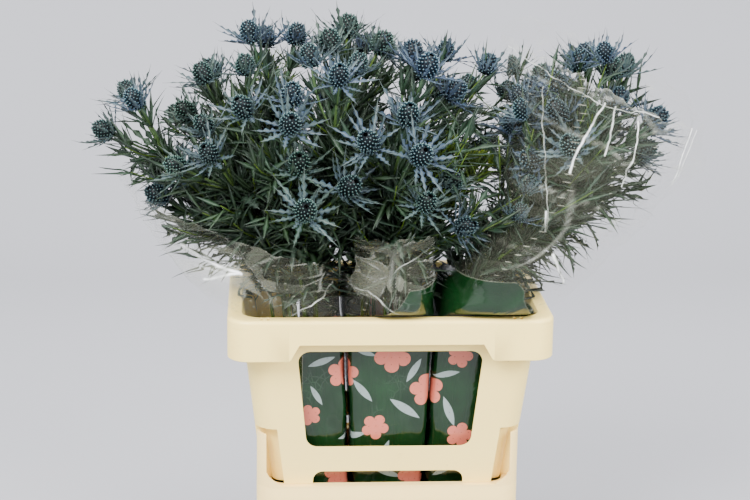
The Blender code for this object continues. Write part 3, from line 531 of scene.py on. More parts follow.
def skirt_height(points):
    """Lower edge of the collar's skirt, for each point of its outline."""
    share = np.clip((np.abs(points[:, 0]) - 0.1095) / 0.011, 0.0, 1.0)
    return RIM_HEIGHT - (SKIRT_SHALLOW + (SKIRT_DEEP - SKIRT_SHALLOW) * share)


def make_collar(finish):
    """Collar: leaning wall with set-back corners, rolled rim with a hanging skirt and short slots, windows and
    arches at its foot, every edge a little soft."""
    foot, under = LEDGE_HEIGHT + GAP, RIM_HEIGHT - WALL

    def wall(height, inwards, setback=0.0):
        half_x, half_y = leaning(COLLAR_HALF, COLLAR_SLOPE, height, LEDGE_HEIGHT)
        inset = inwards if setback else 0.0
        points = outline(half_x - inwards, half_y - inwards, CORNER_RADIUS - inwards, setback, inset)
        return at_height(points, height)

    def rim(inwards, height=None, above=0.0):
        """A ring at a height, or else a little above the skirt's lower edge."""
        points = outline(RIM_HALF[0] - inwards, RIM_HALF[1] - inwards, RIM_CORNER - inwards)
        return at_height(points, skirt_height(points) + above if height is None else height)

    rings = [wall(foot, 0.0, CORNER_SETBACK), wall(STEP_HEIGHT, 0.0, CORNER_SETBACK)]
    rings += [wall(height, 0.0) for height in (STEP_HEIGHT + 0.002, 0.32, 0.37, under - 0.004)]
    rings += [wall(under, -0.003), rim(WALL + 2 * EDGE, under), rim(WALL, under - 2 * EDGE)]
    rings += [rim(WALL, above=EDGE), rim(WALL - EDGE), rim(EDGE), rim(0.0, above=EDGE)]
    rings += turned_edge(rim, RIM_HEIGHT, 0.0, 0.0045, 7)
    rings += [wall(RIM_HEIGHT, WALL - 2 * EDGE), wall(RIM_HEIGHT - 0.0004, WALL - 0.0003)]
    rings += [wall(height, WALL) for height in (RIM_HEIGHT - 0.0014, 0.36, STEP_HEIGHT + 0.007)]
    rings += [wall(STEP_HEIGHT + 0.00375, WALL, CORNER_SETBACK), wall(foot, WALL, CORNER_SETBACK)]
    collar = shell("flower_collar", rings, finish)
    window = rounded_profile(WINDOW_HALF_BOTTOM, WINDOW_HALF_TOP, WINDOW_BOTTOM, WINDOW_TOP, WINDOW_CORNER)
    arch = rounded_profile(ARCH_HALF, ARCH_HALF, LEDGE_HEIGHT - 0.01, ARCH_TOP, ARCH_CORNER, round_foot=False)
    bar = rounded_profile(SLOT_HALF[0], SLOT_HALF[0], RIM_HEIGHT - 0.007, RIM_HEIGHT + 0.004, 0.0008, 3)
    cutters = [profile_cutter(window, -0.135, 0.135), profile_cutter(arch, -0.15, 0.15)]
    for y in SLOTS_Y:
        for x in SLOTS_X:
            moved = [(across + x, height) for across, height in bar]
            cutters.append(profile_cutter(moved, y - SLOT_HALF[1], y + SLOT_HALF[1]))
    cut(collar, cutters)
    edge = collar.modifiers.new("soft_edge", "BEVEL")
    edge.width, edge.segments, edge.limit_method, edge.angle_limit = 0.0007, 2, "ANGLE", math.radians(50)
    sharpen(collar)
    return collar


def make_bucket(finish):
    """Water container: floor, leaning wall, ledge with a hanging skirt, and four corner posts."""
    under, skirt_foot, post_foot = LEDGE_HEIGHT - WALL, LEDGE_HEIGHT - LEDGE_SKIRT, LEDGE_HEIGHT - 0.001
    foot_radius, body_radius, ledge_radius = 0.018, 0.020, 0.030

    def body(height, inwards, radius=body_radius):
        half_x, half_y = leaning(BUCKET_HALF, BUCKET_SLOPE, height)
        return at_height(outline(half_x - inwards, half_y - inwards, radius - inwards), height)

    def ledge(inwards, height):
        points = outline(LEDGE_HALF[0] - inwards, LEDGE_HALF[1] - inwards, ledge_radius - inwards)
        return at_height(points, height)

    rings = [body(0.0, 0.003, foot_radius), body(0.0009, 0.0013, foot_radius), body(0.003, 0.0, foot_radius)]
    rings += [body(height, 0.0) for height in (0.06, 0.12, under - 0.003)]
    rings += [body(under, -0.002), ledge(WALL, under), ledge(WALL, skirt_foot + EDGE)]
    rings += [ledge(WALL - EDGE, skirt_foot), ledge(EDGE, skirt_foot), ledge(0.0, skirt_foot + EDGE)]
    rings += turned_edge(ledge, LEDGE_HEIGHT, 0.0, 0.002, 4)
    rings += [body(LEDGE_HEIGHT, WALL - 0.001), body(LEDGE_HEIGHT - 0.001, WALL), body(0.10, WALL)]
    rings += [body(FLOOR + 0.003, WALL, foot_radius), body(FLOOR, WALL + 0.003, foot_radius)]
    bucket = shell("water_container", rings, finish, caps=True)
    rings = [ledge(0.0002, post_foot), *turned_edge(ledge, POST_TOP, 0.0002, 0.0012, 3)]
    rings += [ledge(POST_WALL, POST_TOP), ledge(POST_WALL, post_foot)]
    posts = shell("posts", rings, finish)
    straight_x, straight_y = LEDGE_HALF[0] - POST_WIDE_X, LEDGE_HALF[1] - POST_WIDE_Y
    foot, wide, bend = LEDGE_HEIGHT + 0.002, 0.019, 0.013
    front = [
        (-straight_x + wide, foot), (straight_x - wide, foot), (straight_x - 0.004, foot + bend - 0.003),
        (straight_x, foot + bend + 0.003), (straight_x, POST_TOP + 0.01), (-straight_x, POST_TOP + 0.01),
        (-straight_x, foot + bend + 0.003), (-straight_x + 0.004, foot + bend - 0.003),
    ]
    side_cut = profile_cutter([(x / straight_x * straight_y, z) for x, z in front], -0.25, 0.25)
    for vertex in side_cut.data.vertices:
        vertex.co = (-vertex.co.y, vertex.co.x, vertex.co.z)
    cut(posts, [profile_cutter(front, -0.2, 0.2), side_cut])
    cut(bucket, [posts], "UNION")
    sharpen(bucket)
    return bucket


# Plants: the solids' rule for where each spray stands, then finer stems, heads, bracts and leaves


def sleeve_size(side, height):
    """A sleeve's middle and half sizes at heights, as (middle x, half width, half depth)."""
    depth = np.interp(height, FILM_LEVELS, FILM_DEPTH_HALF)
    if side == 0:
        return 0.0 * depth, np.interp(height, FILM_LEVELS, FILM_CENTRE_HALF), depth
    outer = np.interp(height, FILM_LEVELS, FILM_OUTER[side])
    inner = np.interp(height, FILM_LEVELS, FILM_INNER[side])
    return side * (outer + inner) / 2, (outer - inner) / 2, depth


def sleeve_top(side, x, y):
    """Height of a sleeve's upper edge above places: the right one's falls outwards and rises to the back, the
    left one's rises outwards, and the centre one's rises at its front and back."""
    if side == 1:
        return 0.742 - 0.46 * np.maximum(x - 0.145, 0.0) + 0.06 * y
    if side == -1:
        return 0.478 + (0.585 - 0.478) * np.clip((-x - 0.09) / 0.2, 0.0, 1.0)
    return 0.462 + np.where(y < 0, 0.068, 0.028) * np.clip((np.abs(y) - 0.10) / 0.06, 0.0, 1.0)


def dome_places(dome, count, rng):
    """Middles and axes of sprays spread over a rounded dome by the golden angle, from its top down."""
    places = []
    span = 1 - math.cos(math.radians(dome["widest"]))
    half = np.array(dome["half"])
    for k in range(count):
        polar = math.acos(1 - span * (k + 0.5) / count)
        turn = dome["turn"] + k * GOLDEN_ANGLE
        way = np.array((math.sin(polar) * math.cos(turn), math.sin(polar) * math.sin(turn), math.cos(polar)))
        reach = np.sum(np.abs(way / half) ** DOME_ROUNDNESS) ** (-1 / DOME_ROUNDNESS)
        normal = unit(np.sign(way) * np.abs(way * reach / half) ** (DOME_ROUNDNESS - 1) / half)
        reach *= rng.uniform(0.95, 1.03)
        axis = unit(normal * 0.62 + UP * 0.55 + rng.uniform(-0.12, 0.12, 3))
        places.append({"middle": np.array(dome["centre"]) + way * reach, "axis": axis})
    return places


def spread_in_disc(points):
    """Ease points of the unit disc apart until they are about evenly spaced."""
    points = np.array(points, dtype=float)
    wanted = 1.35 / math.sqrt(len(points))
    for _ in range(80):
        apart = points[:, None] - points[None]
        distance = np.linalg.norm(apart, axis=2) + np.eye(len(points))
        push = np.clip(wanted - distance, 0.0, None) * (1 - np.eye(len(points)))
        points += 0.3 * (apart / distance[..., None] * push[..., None]).sum(axis=1)
        points /= np.maximum(np.linalg.norm(points, axis=1, keepdims=True), 1.0)
    return points


def plan_sprays(rng):
    """Every spray's middle and axis on the dome, its sleeve, and its spot in the sleeve."""
    main = dome_places(MAIN_DOME, SPRAYS_MAIN, rng)
    for k in YOUNG:
        main[k]["young"] = True
    outlier = {"middle": np.array(OUTLIER["centre"]), "axis": unit(np.array(OUTLIER["axis"]))}
    main.sort(key=lambda spray: spray["middle"][0])
    left, centre = main[: SPRAYS_MAIN // 2] + [outlier], main[SPRAYS_MAIN // 2 :]
    right = dome_places(RIGHT_DOME, SPRAYS_RIGHT, rng)
    for side, group in ((-1, left), (0, centre), (1, right)):
        middles = np.array([spray["middle"] for spray in group])[:, :2]
        middles -= middles.mean(axis=0)
        for spray, spot in zip(group, spread_in_disc(middles / (np.abs(middles).max(axis=0) * 1.2))):
            spray["side"], spray["spot"] = side, spot
    sprays = left + centre + right
    for spray in sprays:
        spray["turn"] = rng.uniform(0, 2 * math.pi)
        spray["size"] = YOUNG_SIZE if spray.get("young") else rng.uniform(0.92, 1.08)
    return sprays


def stem_spot(spray, height):
    """Where a spray's stem passes a height inside its sleeve."""
    middle, half_width, half_depth = sleeve_size(spray["side"], height)
    u, v = spray["spot"] * STEM_SPREAD
    return np.array((middle + half_width * u, half_depth * v, height))


def bezier(a, b, c, d, t):
    """Points on a cubic curve."""
    t = np.atleast_1d(t)[:, None]
    s = 1 - t
    return a * s**3 + b * (3 * s * s * t) + c * (3 * s * t * t) + d * t**3


def grow(spray, rng):
    """A spray's skeleton, by the solids' rule: its stem's path, its fork and its three heads."""
    size, axis, middle = spray["size"], spray["axis"], spray["middle"]
    fork = middle - axis * FORK_LENGTH * size
    foot, neck = stem_spot(spray, WATER_TOP), stem_spot(spray, NECK_AT)
    rise = np.linalg.norm(fork - neck)
    neck_way = unit(neck - stem_spot(spray, NECK_FROM))
    curve = (neck, neck + neck_way * rise * 0.4, fork - axis * rise * 0.35, fork)
    joint = bezier(*curve, 0.50)[0]
    joint_way = unit(bezier(*curve, 0.52)[0] - bezier(*curve, 0.48)[0])
    path = np.array([
        (foot[0], foot[1], FLOOR + GAP), (foot[0], foot[1], WATER_TOP + 0.004),
        stem_spot(spray, LEDGE_HEIGHT), neck,
        joint - joint_way * 0.0025, joint + joint_way * 0.0025, bezier(*curve, 0.78)[0],
        fork - axis * 0.0022, fork + axis * 0.0022,
    ])
    level = np.cross(axis, UP)
    level = unit(level) if np.linalg.norm(level) > 0.1 else np.array((1.0, 0.0, 0.0))
    across = level * math.cos(spray["turn"]) + np.cross(axis, level) * math.sin(spray["turn"])
    whole = np.concatenate([[(foot[0], foot[1], FLOOR)], path[1:]])
    for k in range(len(whole) - 1, 0, -1):
        across = square_to(across, unit(whole[k] - whole[k - 1]))
    across = square_to(across, UP)
    for k in range(1, len(path)):
        across = square_to(across, unit(path[min(k + 1, len(path) - 1)] - path[k - 1]))
    rng.uniform(size=8)  # the solids' draws for their leaves
    deep = np.cross(axis, across)
    heads = []
    for share_across, share_deep in ((1.0, 0.0), (-0.5, -0.87), (-0.5, 0.87)):
        out = across * share_across + deep * share_deep
        rise_by = rng.uniform(-0.010, 0.014) * size
        base = middle + out * HEAD_SPREAD * size + axis * (rise_by - HEAD_HALF_HEIGHT)
        heads.append({"base": base, "axis": unit(axis + out * rng.uniform(0.15, 0.45)), "out": unit(out)})
    stem = np.concatenate([path[:3], [stem_spot(spray, 0.30)], bezier(*curve, np.linspace(0, 1, 13))])
    return {"stem": stem, "fork": fork, "curve": curve, "heads": heads, "across": across}


def tube(shape, path, radii, reference, growth, slot, sides=8):
    """A round section carried along a path: each ring is a circle square to the path's direction there."""
    path = np.asarray(path)
    way = unit(np.gradient(path, axis=0))
    across = square_to(np.broadcast_to(reference, way.shape), way)
    deep = np.cross(way, across)
    angle = np.linspace(0, 2 * math.pi, sides, endpoint=False)
    ring = across[:, None] * np.cos(angle)[:, None] + deep[:, None] * np.sin(angle)[:, None]
    verts = path[:, None] + ring * np.asarray(radii)[:, None, None]
    ends = np.arange(sides)[::-1], np.arange(sides) + (len(path) - 1) * sides
    fans = np.concatenate([np.stack([np.full(sides - 2, e[0]), e[1:-1], e[2:]], -1) for e in ends])
    shape.add(verts, [grid_faces(len(path), sides, True), fans], np.repeat(growth, sides, axis=0), slot)


# Half widths along a blade, as (place along, half width, tooth); a tooth's tip leans forward
BRACT = np.array((
    (0.00, 0.55, 0), (0.12, 0.64, 0), (0.22, 0.66, 0), (0.26, 2.0, 1), (0.38, 0.58, 0), (0.46, 1.8, 1),
    (0.60, 0.44, 0), (0.68, 1.2, 1), (0.80, 0.28, 0), (1.00, 0.03, 0),
))
LEAF = np.array((
    (0.00, 0.10, 0), (0.14, 0.16, 0), (0.24, 0.28, 0), (0.28, 0.92, 1), (0.36, 0.40, 0), (0.44, 0.48, 0),
    (0.48, 1.10, 1), (0.56, 0.44, 0), (0.63, 0.44, 0), (0.67, 0.90, 1), (0.76, 0.28, 0), (0.80, 0.50, 1),
    (0.90, 0.12, 0), (1.00, 0.02, 0),
))
UPRIGHT = np.array((
    (0.00, 0.35, 0), (0.20, 0.70, 0), (0.40, 1.00, 0), (0.44, 1.35, 1), (0.62, 0.80, 0), (0.82, 0.42, 0),
    (1.00, 0.03, 0),
))
PLAIN = np.array(((0.00, 0.30, 0), (0.30, 0.95, 0), (0.60, 0.85, 0), (1.00, 0.03, 0)))


BLADE_HALF_THICK = 0.00035
TOOTH_SHIFT, TOOTH_CHANGE, TOOTH_LEAN = 0.012, 0.22, 0.055  # chance along, chance across, and how far forward


def blades(shape, table, base, way, upper, length, width, curl, fold, drift, slot, rng):
    """Many toothed blades at once. A blade's rib is an arc that bends towards its upper face. At each station
    a thin lens spans its two edges, which rise from the rib by the fold, and a tooth leans forward."""
    count, stations = len(base), len(table)
    upper = square_to(upper, way)
    side = np.cross(way, upper)
    t = table[:, 0] + rng.uniform(-TOOTH_SHIFT, TOOTH_SHIFT, (count, 2, stations)) * (table[:, 2] > 0)
    t = t + TOOTH_LEAN * table[:, 2]
    change = rng.uniform(-TOOTH_CHANGE, TOOTH_CHANGE, (count, 2, stations))
    half = table[:, 1] * (1 + change * (table[:, 2] > 0))
    half = half * np.reshape(width, (-1, 1, 1))
    bend = np.where(np.abs(curl) < 0.02, 0.02, curl).reshape(-1, 1)
    long = np.reshape(length, (-1, 1))

    def rib(place):
        """Distance along and above the start of the rib's arc, and its direction there."""
        angle = bend * place
        return long * np.sin(angle) / bend, long * (1 - np.cos(angle)) / bend, angle

    def at(along, above, angle, sideways, lift):
        normal = upper[:, None] * np.cos(angle)[..., None] - way[:, None] * np.sin(angle)[..., None]
        return (base[:, None] + way[:, None] * along[..., None] + upper[:, None] * above[..., None]
                + side[:, None] * sideways[..., None] + normal * lift[..., None])

    middle = np.broadcast_to(table[:, 0], (count, stations))
    thick = BLADE_HALF_THICK * (1.2 - middle)
    left, right = t[:, 0], t[:, 1]
    corners = [
        at(*rib(left), -half[:, 0], half[:, 0] * np.reshape(fold, (-1, 1))),
        at(*rib(middle), 0 * middle, -thick),
        at(*rib(right), half[:, 1], half[:, 1] * np.reshape(fold, (-1, 1))),
        at(*rib(middle), 0 * middle, thick),
    ]
    verts = np.stack(corners, axis=2)
    faces = repeated(grid_faces(stations, 4, True), count, stations * 4)
    caps = np.array([(3, 2, 1, 0), tuple((stations - 1) * 4 + k for k in range(4))])
    faces = np.concatenate([faces, repeated(caps, count, stations * 4)])
    edge = np.where(np.arange(4) % 2, 0.0, 1.0)
    growth = np.zeros((count, stations, 4, 3))
    growth[..., 0] = middle[..., None]
    growth[..., 1] = np.reshape(drift, (-1, 1, 1))
    growth[..., 2] = edge * np.clip(table[:, 1, None] * 1.2, 0, 1)
    shape.add(verts, faces, growth.reshape(-1, 3), slot)


STEM, BRACTS, LEAVES, CONE = 0, 1, 2, 3  # places in a plant's list of finishes
FLORETS, FLORET_HALF = 118, 0.00118
FLORET_ROWS = np.array(((-0.0006, 0.75), (0.0014, 1.02), (0.0030, 0.36)))  # height, and half width as a share
CONE_HEIGHT, CONE_FOOT, CORE_SHARE, CORE_RINGS, CORE_SIDES = 0.0275, 0.001, 0.93, 9, 12


def cone_radius(share):
    """A cone's radius at a share of its height: full at two fifths, less at its foot, round at its top."""
    low = 0.0068 + 0.0046 * np.sin(np.clip(share / 0.40, 0, 1) * math.pi / 2) ** 0.8
    high = 0.0114 * np.sqrt(np.clip(1 - ((share - 0.40) / 0.62) ** 2, 0.0, 1))
    return np.where(share < 0.40, low, high)


def cone(shape, head, size, drift, rng):
    """A flower head: a dark core, and on it florets in golden-angle rows, each a bud of four sides."""
    axis, core = head["axis"], CORE_SHARE * size
    across = square_to(head["out"], axis)
    deep = np.cross(axis, across)
    shares = np.linspace(0.0, 1.0, CORE_RINGS)
    angle = np.linspace(0, 2 * math.pi, CORE_SIDES, endpoint=False)
    rings = (head["base"] + axis * (shares * CONE_HEIGHT + CONE_FOOT)[:, None, None] * size
             + (across * np.cos(angle)[:, None] + deep * np.sin(angle)[:, None])
             * (cone_radius(shares) * core)[:, None, None])
    shape.add(rings, grid_faces(CORE_RINGS, CORE_SIDES, True), (0.0, drift, 1.0), CONE)
    fine = np.linspace(0.02, 0.985, 240)
    slope = np.hypot(np.gradient(cone_radius(fine)), np.gradient(fine) * CONE_HEIGHT)
    area = np.cumsum(cone_radius(fine) * slope)
    share = np.interp((np.arange(FLORETS) + 0.5) / FLORETS * area[-1], area, fine)
    turn = np.arange(FLORETS) * GOLDEN_ANGLE + rng.uniform(0, 6.28)
    out = across * np.cos(turn)[:, None] + deep * np.sin(turn)[:, None]
    tilt = np.clip((share - 0.30) * 2.1, -0.35, 1.45)[:, None]
    normal = unit(out * np.cos(tilt) + axis * np.sin(tilt))
    base = head["base"] + axis * (share * CONE_HEIGHT + CONE_FOOT)[:, None] * size
    base = base + out * cone_radius(share)[:, None] * core
    one = square_to(np.cross(axis, out) + 1e-4, normal)
    other = np.cross(normal, one)
    four = np.linspace(0, 2 * math.pi, 4, endpoint=False)
    grown = size * rng.uniform(0.88, 1.12, (FLORETS, 1, 1, 1))
    ring = one[:, None] * np.cos(four)[:, None] + other[:, None] * np.sin(four)[:, None]
    verts = (base[:, None, None] + normal[:, None, None] * FLORET_ROWS[:, 0][:, None, None] * grown
             + ring[:, None] * FLORET_HALF * FLORET_ROWS[:, 1][:, None, None] * grown)
    rows = len(FLORET_ROWS)
    growth = np.zeros((FLORETS, rows, 4, 3))
    growth[..., 0] = np.linspace(0.15, 1.0, rows)[:, None]
    growth[..., 1:] = drift, 1.0
    tips = (rows - 1) * 4 + np.arange(4)[None]
    faces = repeated(np.concatenate([grid_faces(rows, 4, True), tips]), FLORETS, rows * 4)
    shape.add(verts, faces, growth.reshape(-1, 3), CONE)


OUTER_BRACTS, INNER_BRACTS, SIDE_BRACTS, NECK_LEAVES, FORK_LEAVES = 13, 8, 15, 8, 9
# Places as shares of the stem's way from the sleeve's neck to the fork, and of a twig's way
LEAF_PLACES, TWIG_PLACES = np.linspace(0.08, 0.92, 8), np.linspace(0.30, 0.97, 9)
PLAIN_PLACES, TWIG_LEAF_PLACES = np.linspace(0.02, 0.93, 86), np.linspace(0.25, 0.98, 14)
LEAVES_EACH, UPPER_LEAVES, UPPER_PLACES = 5, 24, (0.72, 0.98)
TWIG_HALF, TWIG_REACH, LONG_TWIG = (0.0012, 0.0006), (0.055, 0.085), 1.75
DOME_GAP, GAP_REACH = 0.13, 0.12  # X of the dip between the two domes, and how far off stems still fill it
SIDE_HEADS_FROM = 0.85  # share of the stem past which such a stem's long twigs bear a head

# Kinds of blade: outline, then limits of the degrees it stands up, its length, half width, curl and fold
OUTER_BRACT = (BRACT, (4, 40), (0.036, 0.052), (0.0016, 0.0024), (-0.2, 0.9), (0.1, 0.7))
INNER_BRACT = (BRACT, (30, 62), (0.022, 0.036), (0.0012, 0.0018), (0.1, 0.8), (0.1, 0.6))
SIDE_BRACT = (BRACT, (4, 50), (0.030, 0.046), (0.0014, 0.0021), (-0.2, 0.9), (0.1, 0.7))
NECK_LEAF = (UPRIGHT, (35, 80), (0.034, 0.056), (0.0019, 0.0031), (-0.4, 0.5), (0.1, 0.6))
FORK_LEAF = (BRACT, (28, 74), (0.050, 0.082), (0.0018, 0.0030), (-0.5, 0.6), (0.1, 0.6))
UPPER_LEAF = (UPRIGHT, (38, 82), (0.046, 0.078), (0.0019, 0.0030), (-0.4, 0.4), (0.0, 0.5))
PLAIN_LEAF = (PLAIN, (-5, 70), (0.040, 0.085), (0.0026, 0.0052), (-1.0, 0.8), (0.0, 0.5))
TWIG_LEAF = (UPRIGHT, (12, 78), (0.030, 0.056), (0.0018, 0.0032), (-0.6, 0.6), (0.0, 0.5))
STEM_LEAF = (LEAF, (2, 68), (0.55, 1.0), (0.0060, 0.0115), (-1.0, 0.8), (0.0, 0.5))  # length as a share


def sprout(shape, kind, root, axis, out, long, wide, drift, spread, slot, rng):
    """Blades of one kind that leave an axis along directions square to it, measures drawn within limits."""
    table, lift, length, width, curl, fold = kind
    count = len(out)
    angle = np.radians(rng.uniform(*lift, count))[:, None]
    way = out * np.cos(angle) + axis * np.sin(angle)
    upper = axis * np.cos(angle) - out * np.sin(angle)
    length, width, curl, fold = (rng.uniform(*limits, count) for limits in (length, width, curl, fold))
    drift = np.clip(drift + rng.uniform(-spread, spread, count), 0, 1)
    blades(shape, table, root, way, upper, long * length, wide * width, curl, fold, drift, slot, rng)


def whorl(shape, kind, count, centre, axis, reference, out_by, size, drift, slot, rng, long=1.0):
    """A ring of blades round an axis, spaced with a little chance."""
    reference = square_to(reference, axis)
    turn = (np.arange(count) + rng.uniform(-0.35, 0.35, count)) * 2 * math.pi / count + rng.uniform(0, 6.28)
    out = reference * np.cos(turn)[:, None] + np.cross(axis, reference) * np.sin(turn)[:, None]
    sprout(shape, kind, centre + out * out_by, axis, out, long * size, size, drift, 0.2, slot, rng)


def brush(shape, kind, curve, shares, size, drift, rng):
    """Leaves all along a stem, each at its own share of the way, turned by chance round the stem there."""
    place = bezier(*curve, shares)
    axis = unit(bezier(*curve, shares + 0.02) - place)
    out = square_to(rng.normal(size=axis.shape), axis)
    sprout(shape, kind, place + out * 0.0012, axis, out, size, 1.0, drift, 0.3, LEAVES, rng)


def add_head(shape, head, fork, stem_way, size, blue, across, rng):
    """A neck from the fork, its cone with two rings of bracts, and the leaves half way up the neck."""
    base, out = head["base"], head["out"]
    t = np.linspace(0, 1, 8)
    reach = np.linalg.norm(base - fork)
    path = bezier(fork - stem_way * 0.004, fork + (stem_way * 0.35 + out * 0.25) * reach,
                  base - head["axis"] * reach * 0.35, base + head["axis"] * 0.001, t)
    growth = np.column_stack([0.8 + 0.2 * t, np.full(8, blue), np.full(8, 1.0)])
    tube(shape, path, size * (FORK_HALF * 1.05 + (NECK_HALF - FORK_HALF) * t), across + 0.01, growth, STEM, 7)
    tint = float(np.clip(blue + rng.uniform(-0.25, 0.25), 0, 1))
    cone(shape, head, size, tint, rng)
    seat = base + head["axis"] * 0.0030 * size
    whorl(shape, OUTER_BRACT, OUTER_BRACTS, seat, head["axis"], out, 0.0068 * size, size, tint, BRACTS, rng)
    seat = seat + head["axis"] * 0.0012
    whorl(shape, INNER_BRACT, INNER_BRACTS, seat, head["axis"], out, 0.0066 * size, size, tint, BRACTS, rng)
    way, tint = unit(path[5] - path[3]), tint * 0.7
    whorl(shape, NECK_LEAF, NECK_LEAVES, path[4], way, out, 0.0008, size, tint, LEAVES, rng)


def add_twig(shape, curve, t, fork, size, blue, across, rng):
    """A leafy twig from a share of the stem's way. Beside the domes' dip it is longer and leans into the dip,
    and near the fork it bears a head."""
    root = bezier(*curve, t)[0]
    way = unit(bezier(*curve, t + 0.02)[0] - root)
    beside = abs(fork[0] - DOME_GAP) < GAP_REACH
    out = square_to(rng.normal(size=3) + (2.5 * np.sign(DOME_GAP - fork[0]) * beside, 0.0, 0.0), way)
    reach = rng.uniform(*TWIG_REACH) * size * (LONG_TWIG if beside else 1.0)
    twig = (root, root + (way * 0.5 + out * 0.5) * reach * 0.4, root + (way * 0.5 + out * 0.7) * reach * 0.8,
            root + (way * 0.85 + out * 0.75) * reach)
    growth = np.tile((0.7, 0.3, 1.0), (5, 1))
    path = bezier(*twig, np.linspace(0, 1, 5))
    tube(shape, path, np.linspace(*TWIG_HALF, 5), across + 0.02, growth, STEM, 5)
    if beside and t > SIDE_HEADS_FROM:
        axis = unit(UP * 0.8 + out * 0.35)
        cone(shape, {"base": twig[3], "axis": axis, "out": out}, size * 0.86, blue, rng)
        seat = twig[3] + axis * 0.0026
        whorl(shape, SIDE_BRACT, SIDE_BRACTS, seat, axis, out, 0.0058 * size, size, blue, BRACTS, rng)
    brush(shape, TWIG_LEAF, twig, TWIG_LEAF_PLACES, size, blue * 0.6, rng)


def make_spray(name, spray, plan, finishes, rng):
    """One spray: stem, three heads on their necks, twigs, whorls of toothed leaves, and plain blades."""
    size, axis, across = spray["size"], spray["axis"], plan["across"]
    stem, fork, curve = plan["stem"], plan["fork"], plan["curve"]
    shape = Shape()
    run = np.linspace(0, 1, len(stem))
    growth = np.column_stack([run, np.full(len(stem), rng.uniform(0.1, 0.9)), np.full(len(stem), 1.0)])
    tube(shape, stem, STEM_HALF * min(size + 0.1, 1.0) * (1.05 - 0.25 * run), across, growth, STEM, 8)
    blue = 0.15 if spray.get("young") else rng.uniform(0.0, 1.0)
    for head in plan["heads"]:
        add_head(shape, head, fork, axis, size, blue, across, rng)
    whorl(shape, FORK_LEAF, FORK_LEAVES, fork, axis, across, 0.0012, size, blue * 0.6, LEAVES, rng)
    brush(shape, UPPER_LEAF, curve, rng.uniform(*UPPER_PLACES, UPPER_LEAVES), size, blue * 0.7, rng)
    brush(shape, PLAIN_LEAF, curve, PLAIN_PLACES, size, 0.2, rng)
    for t in TWIG_PLACES:
        add_twig(shape, curve, t, fork, size, blue, across, rng)
    for t in LEAF_PLACES:
        place = bezier(*curve, t)[0]
        way = unit(bezier(*curve, t + 0.02)[0] - place)
        drift, long = 0.1 + 0.4 * t, 0.088 - 0.022 * t
        whorl(shape, STEM_LEAF, LEAVES_EACH, place, way, across, 0.0016, size, drift, LEAVES, rng, long)
    kept_in(shape, spray["side"])
    return shape.finish(name, finishes)


def kept_in(shape, side):
    """Draw points that would pass through the sleeve back to its wall, below its upper edge."""
    verts = np.concatenate(shape.verts)
    height = np.clip(verts[:, 2], FILM_LEVELS[0], FILM_LEVELS[-1])
    middle, half_width, half_depth = sleeve_size(side, height)
    power = np.interp(height, FILM_LEVELS, FILM_SQUARENESS)
    x, y = (verts[:, 0] - middle) / (half_width - FILM_CLEAR), verts[:, 1] / (half_depth - FILM_CLEAR)
    reach = (np.abs(x) ** power + np.abs(y) ** power) ** (1 / power)
    below_edge = verts[:, 2] < sleeve_top(side, verts[:, 0], verts[:, 1]) - FILM_CLEAR
    draw = np.where((reach > 1) & below_edge, 1 / reach, 1.0)
    fade = np.where(verts[:, 2] < RIM_HEIGHT, 1.0, np.clip((1.35 - reach) / 0.3, 0.0, 1.0))
    draw = 1 + (draw - 1) * fade
    verts[:, 0] = middle + (verts[:, 0] - middle) * draw
    verts[:, 1] *= draw
    shape.verts = [verts]


# Film


def triangle_wave(place):
    """A wave of straight flanks and sharp ridges, from 0 to 1."""
    return np.abs((place % 1.0) * 2 - 1)


FILM_COLUMNS, FILM_ROWS_LOW, FILM_ROWS_HIGH = 168, 34, 56
FILM_FINE_FROM = 0.44  # height at which the film's rows get closer
LOOSE_FROM, LOOSE_OVER = 0.425, 0.05  # where and over what height the film comes free of the collar
EDGE_OUTLINE_AT, SHEET_LAID_AT = 0.55, 0.30  # heights whose outlines place the edge and measure the sheet
# Strength of the painted glint along each sleeve's upper edge
PAINTED_EDGE_GLINT = {-1: 0.25, 0: 0.2, 1: 0.55}
CRUMPLES, CRUMPLE_DEPTH, CRUMPLED = 7, 0.16, {-1: 0.75, 0: 0.65, 1: 0.05}
PRINT_TOP, LEFT_PRINT_FROM = 0.41, -0.106


def film_crumples(around_m, height, rng):
    """Crossing waves of straight flanks, each at its own slant and pitch, and a painted white glint along
    patches of their ridges.
    """
    crumple, crease_glint = np.zeros_like(height), np.zeros_like(height)
    for _ in range(CRUMPLES):
        lean = rng.uniform(-0.9, 0.9)
        pitch = rng.uniform(0.045, 0.11)
        wave = (around_m * math.cos(lean) + height * math.sin(lean)) / pitch + rng.uniform()
        ridge = triangle_wave(wave + 0.35 * np.sin(height * rng.uniform(9, 22) + around_m * 6))
        crumple += ridge * rng.uniform(0.4, 1.0) * pitch
        patches = np.sin(around_m * rng.uniform(14, 30) + height * rng.uniform(8, 25) + rng.uniform(0, 6))
        # Painted white glint along the ridges, in patches
        crease_glint = np.maximum(crease_glint, np.clip(1 - np.abs(ridge - 1) / 0.035, 0, 1) * np.clip(patches, 0, 1))
    return crumple, crease_glint


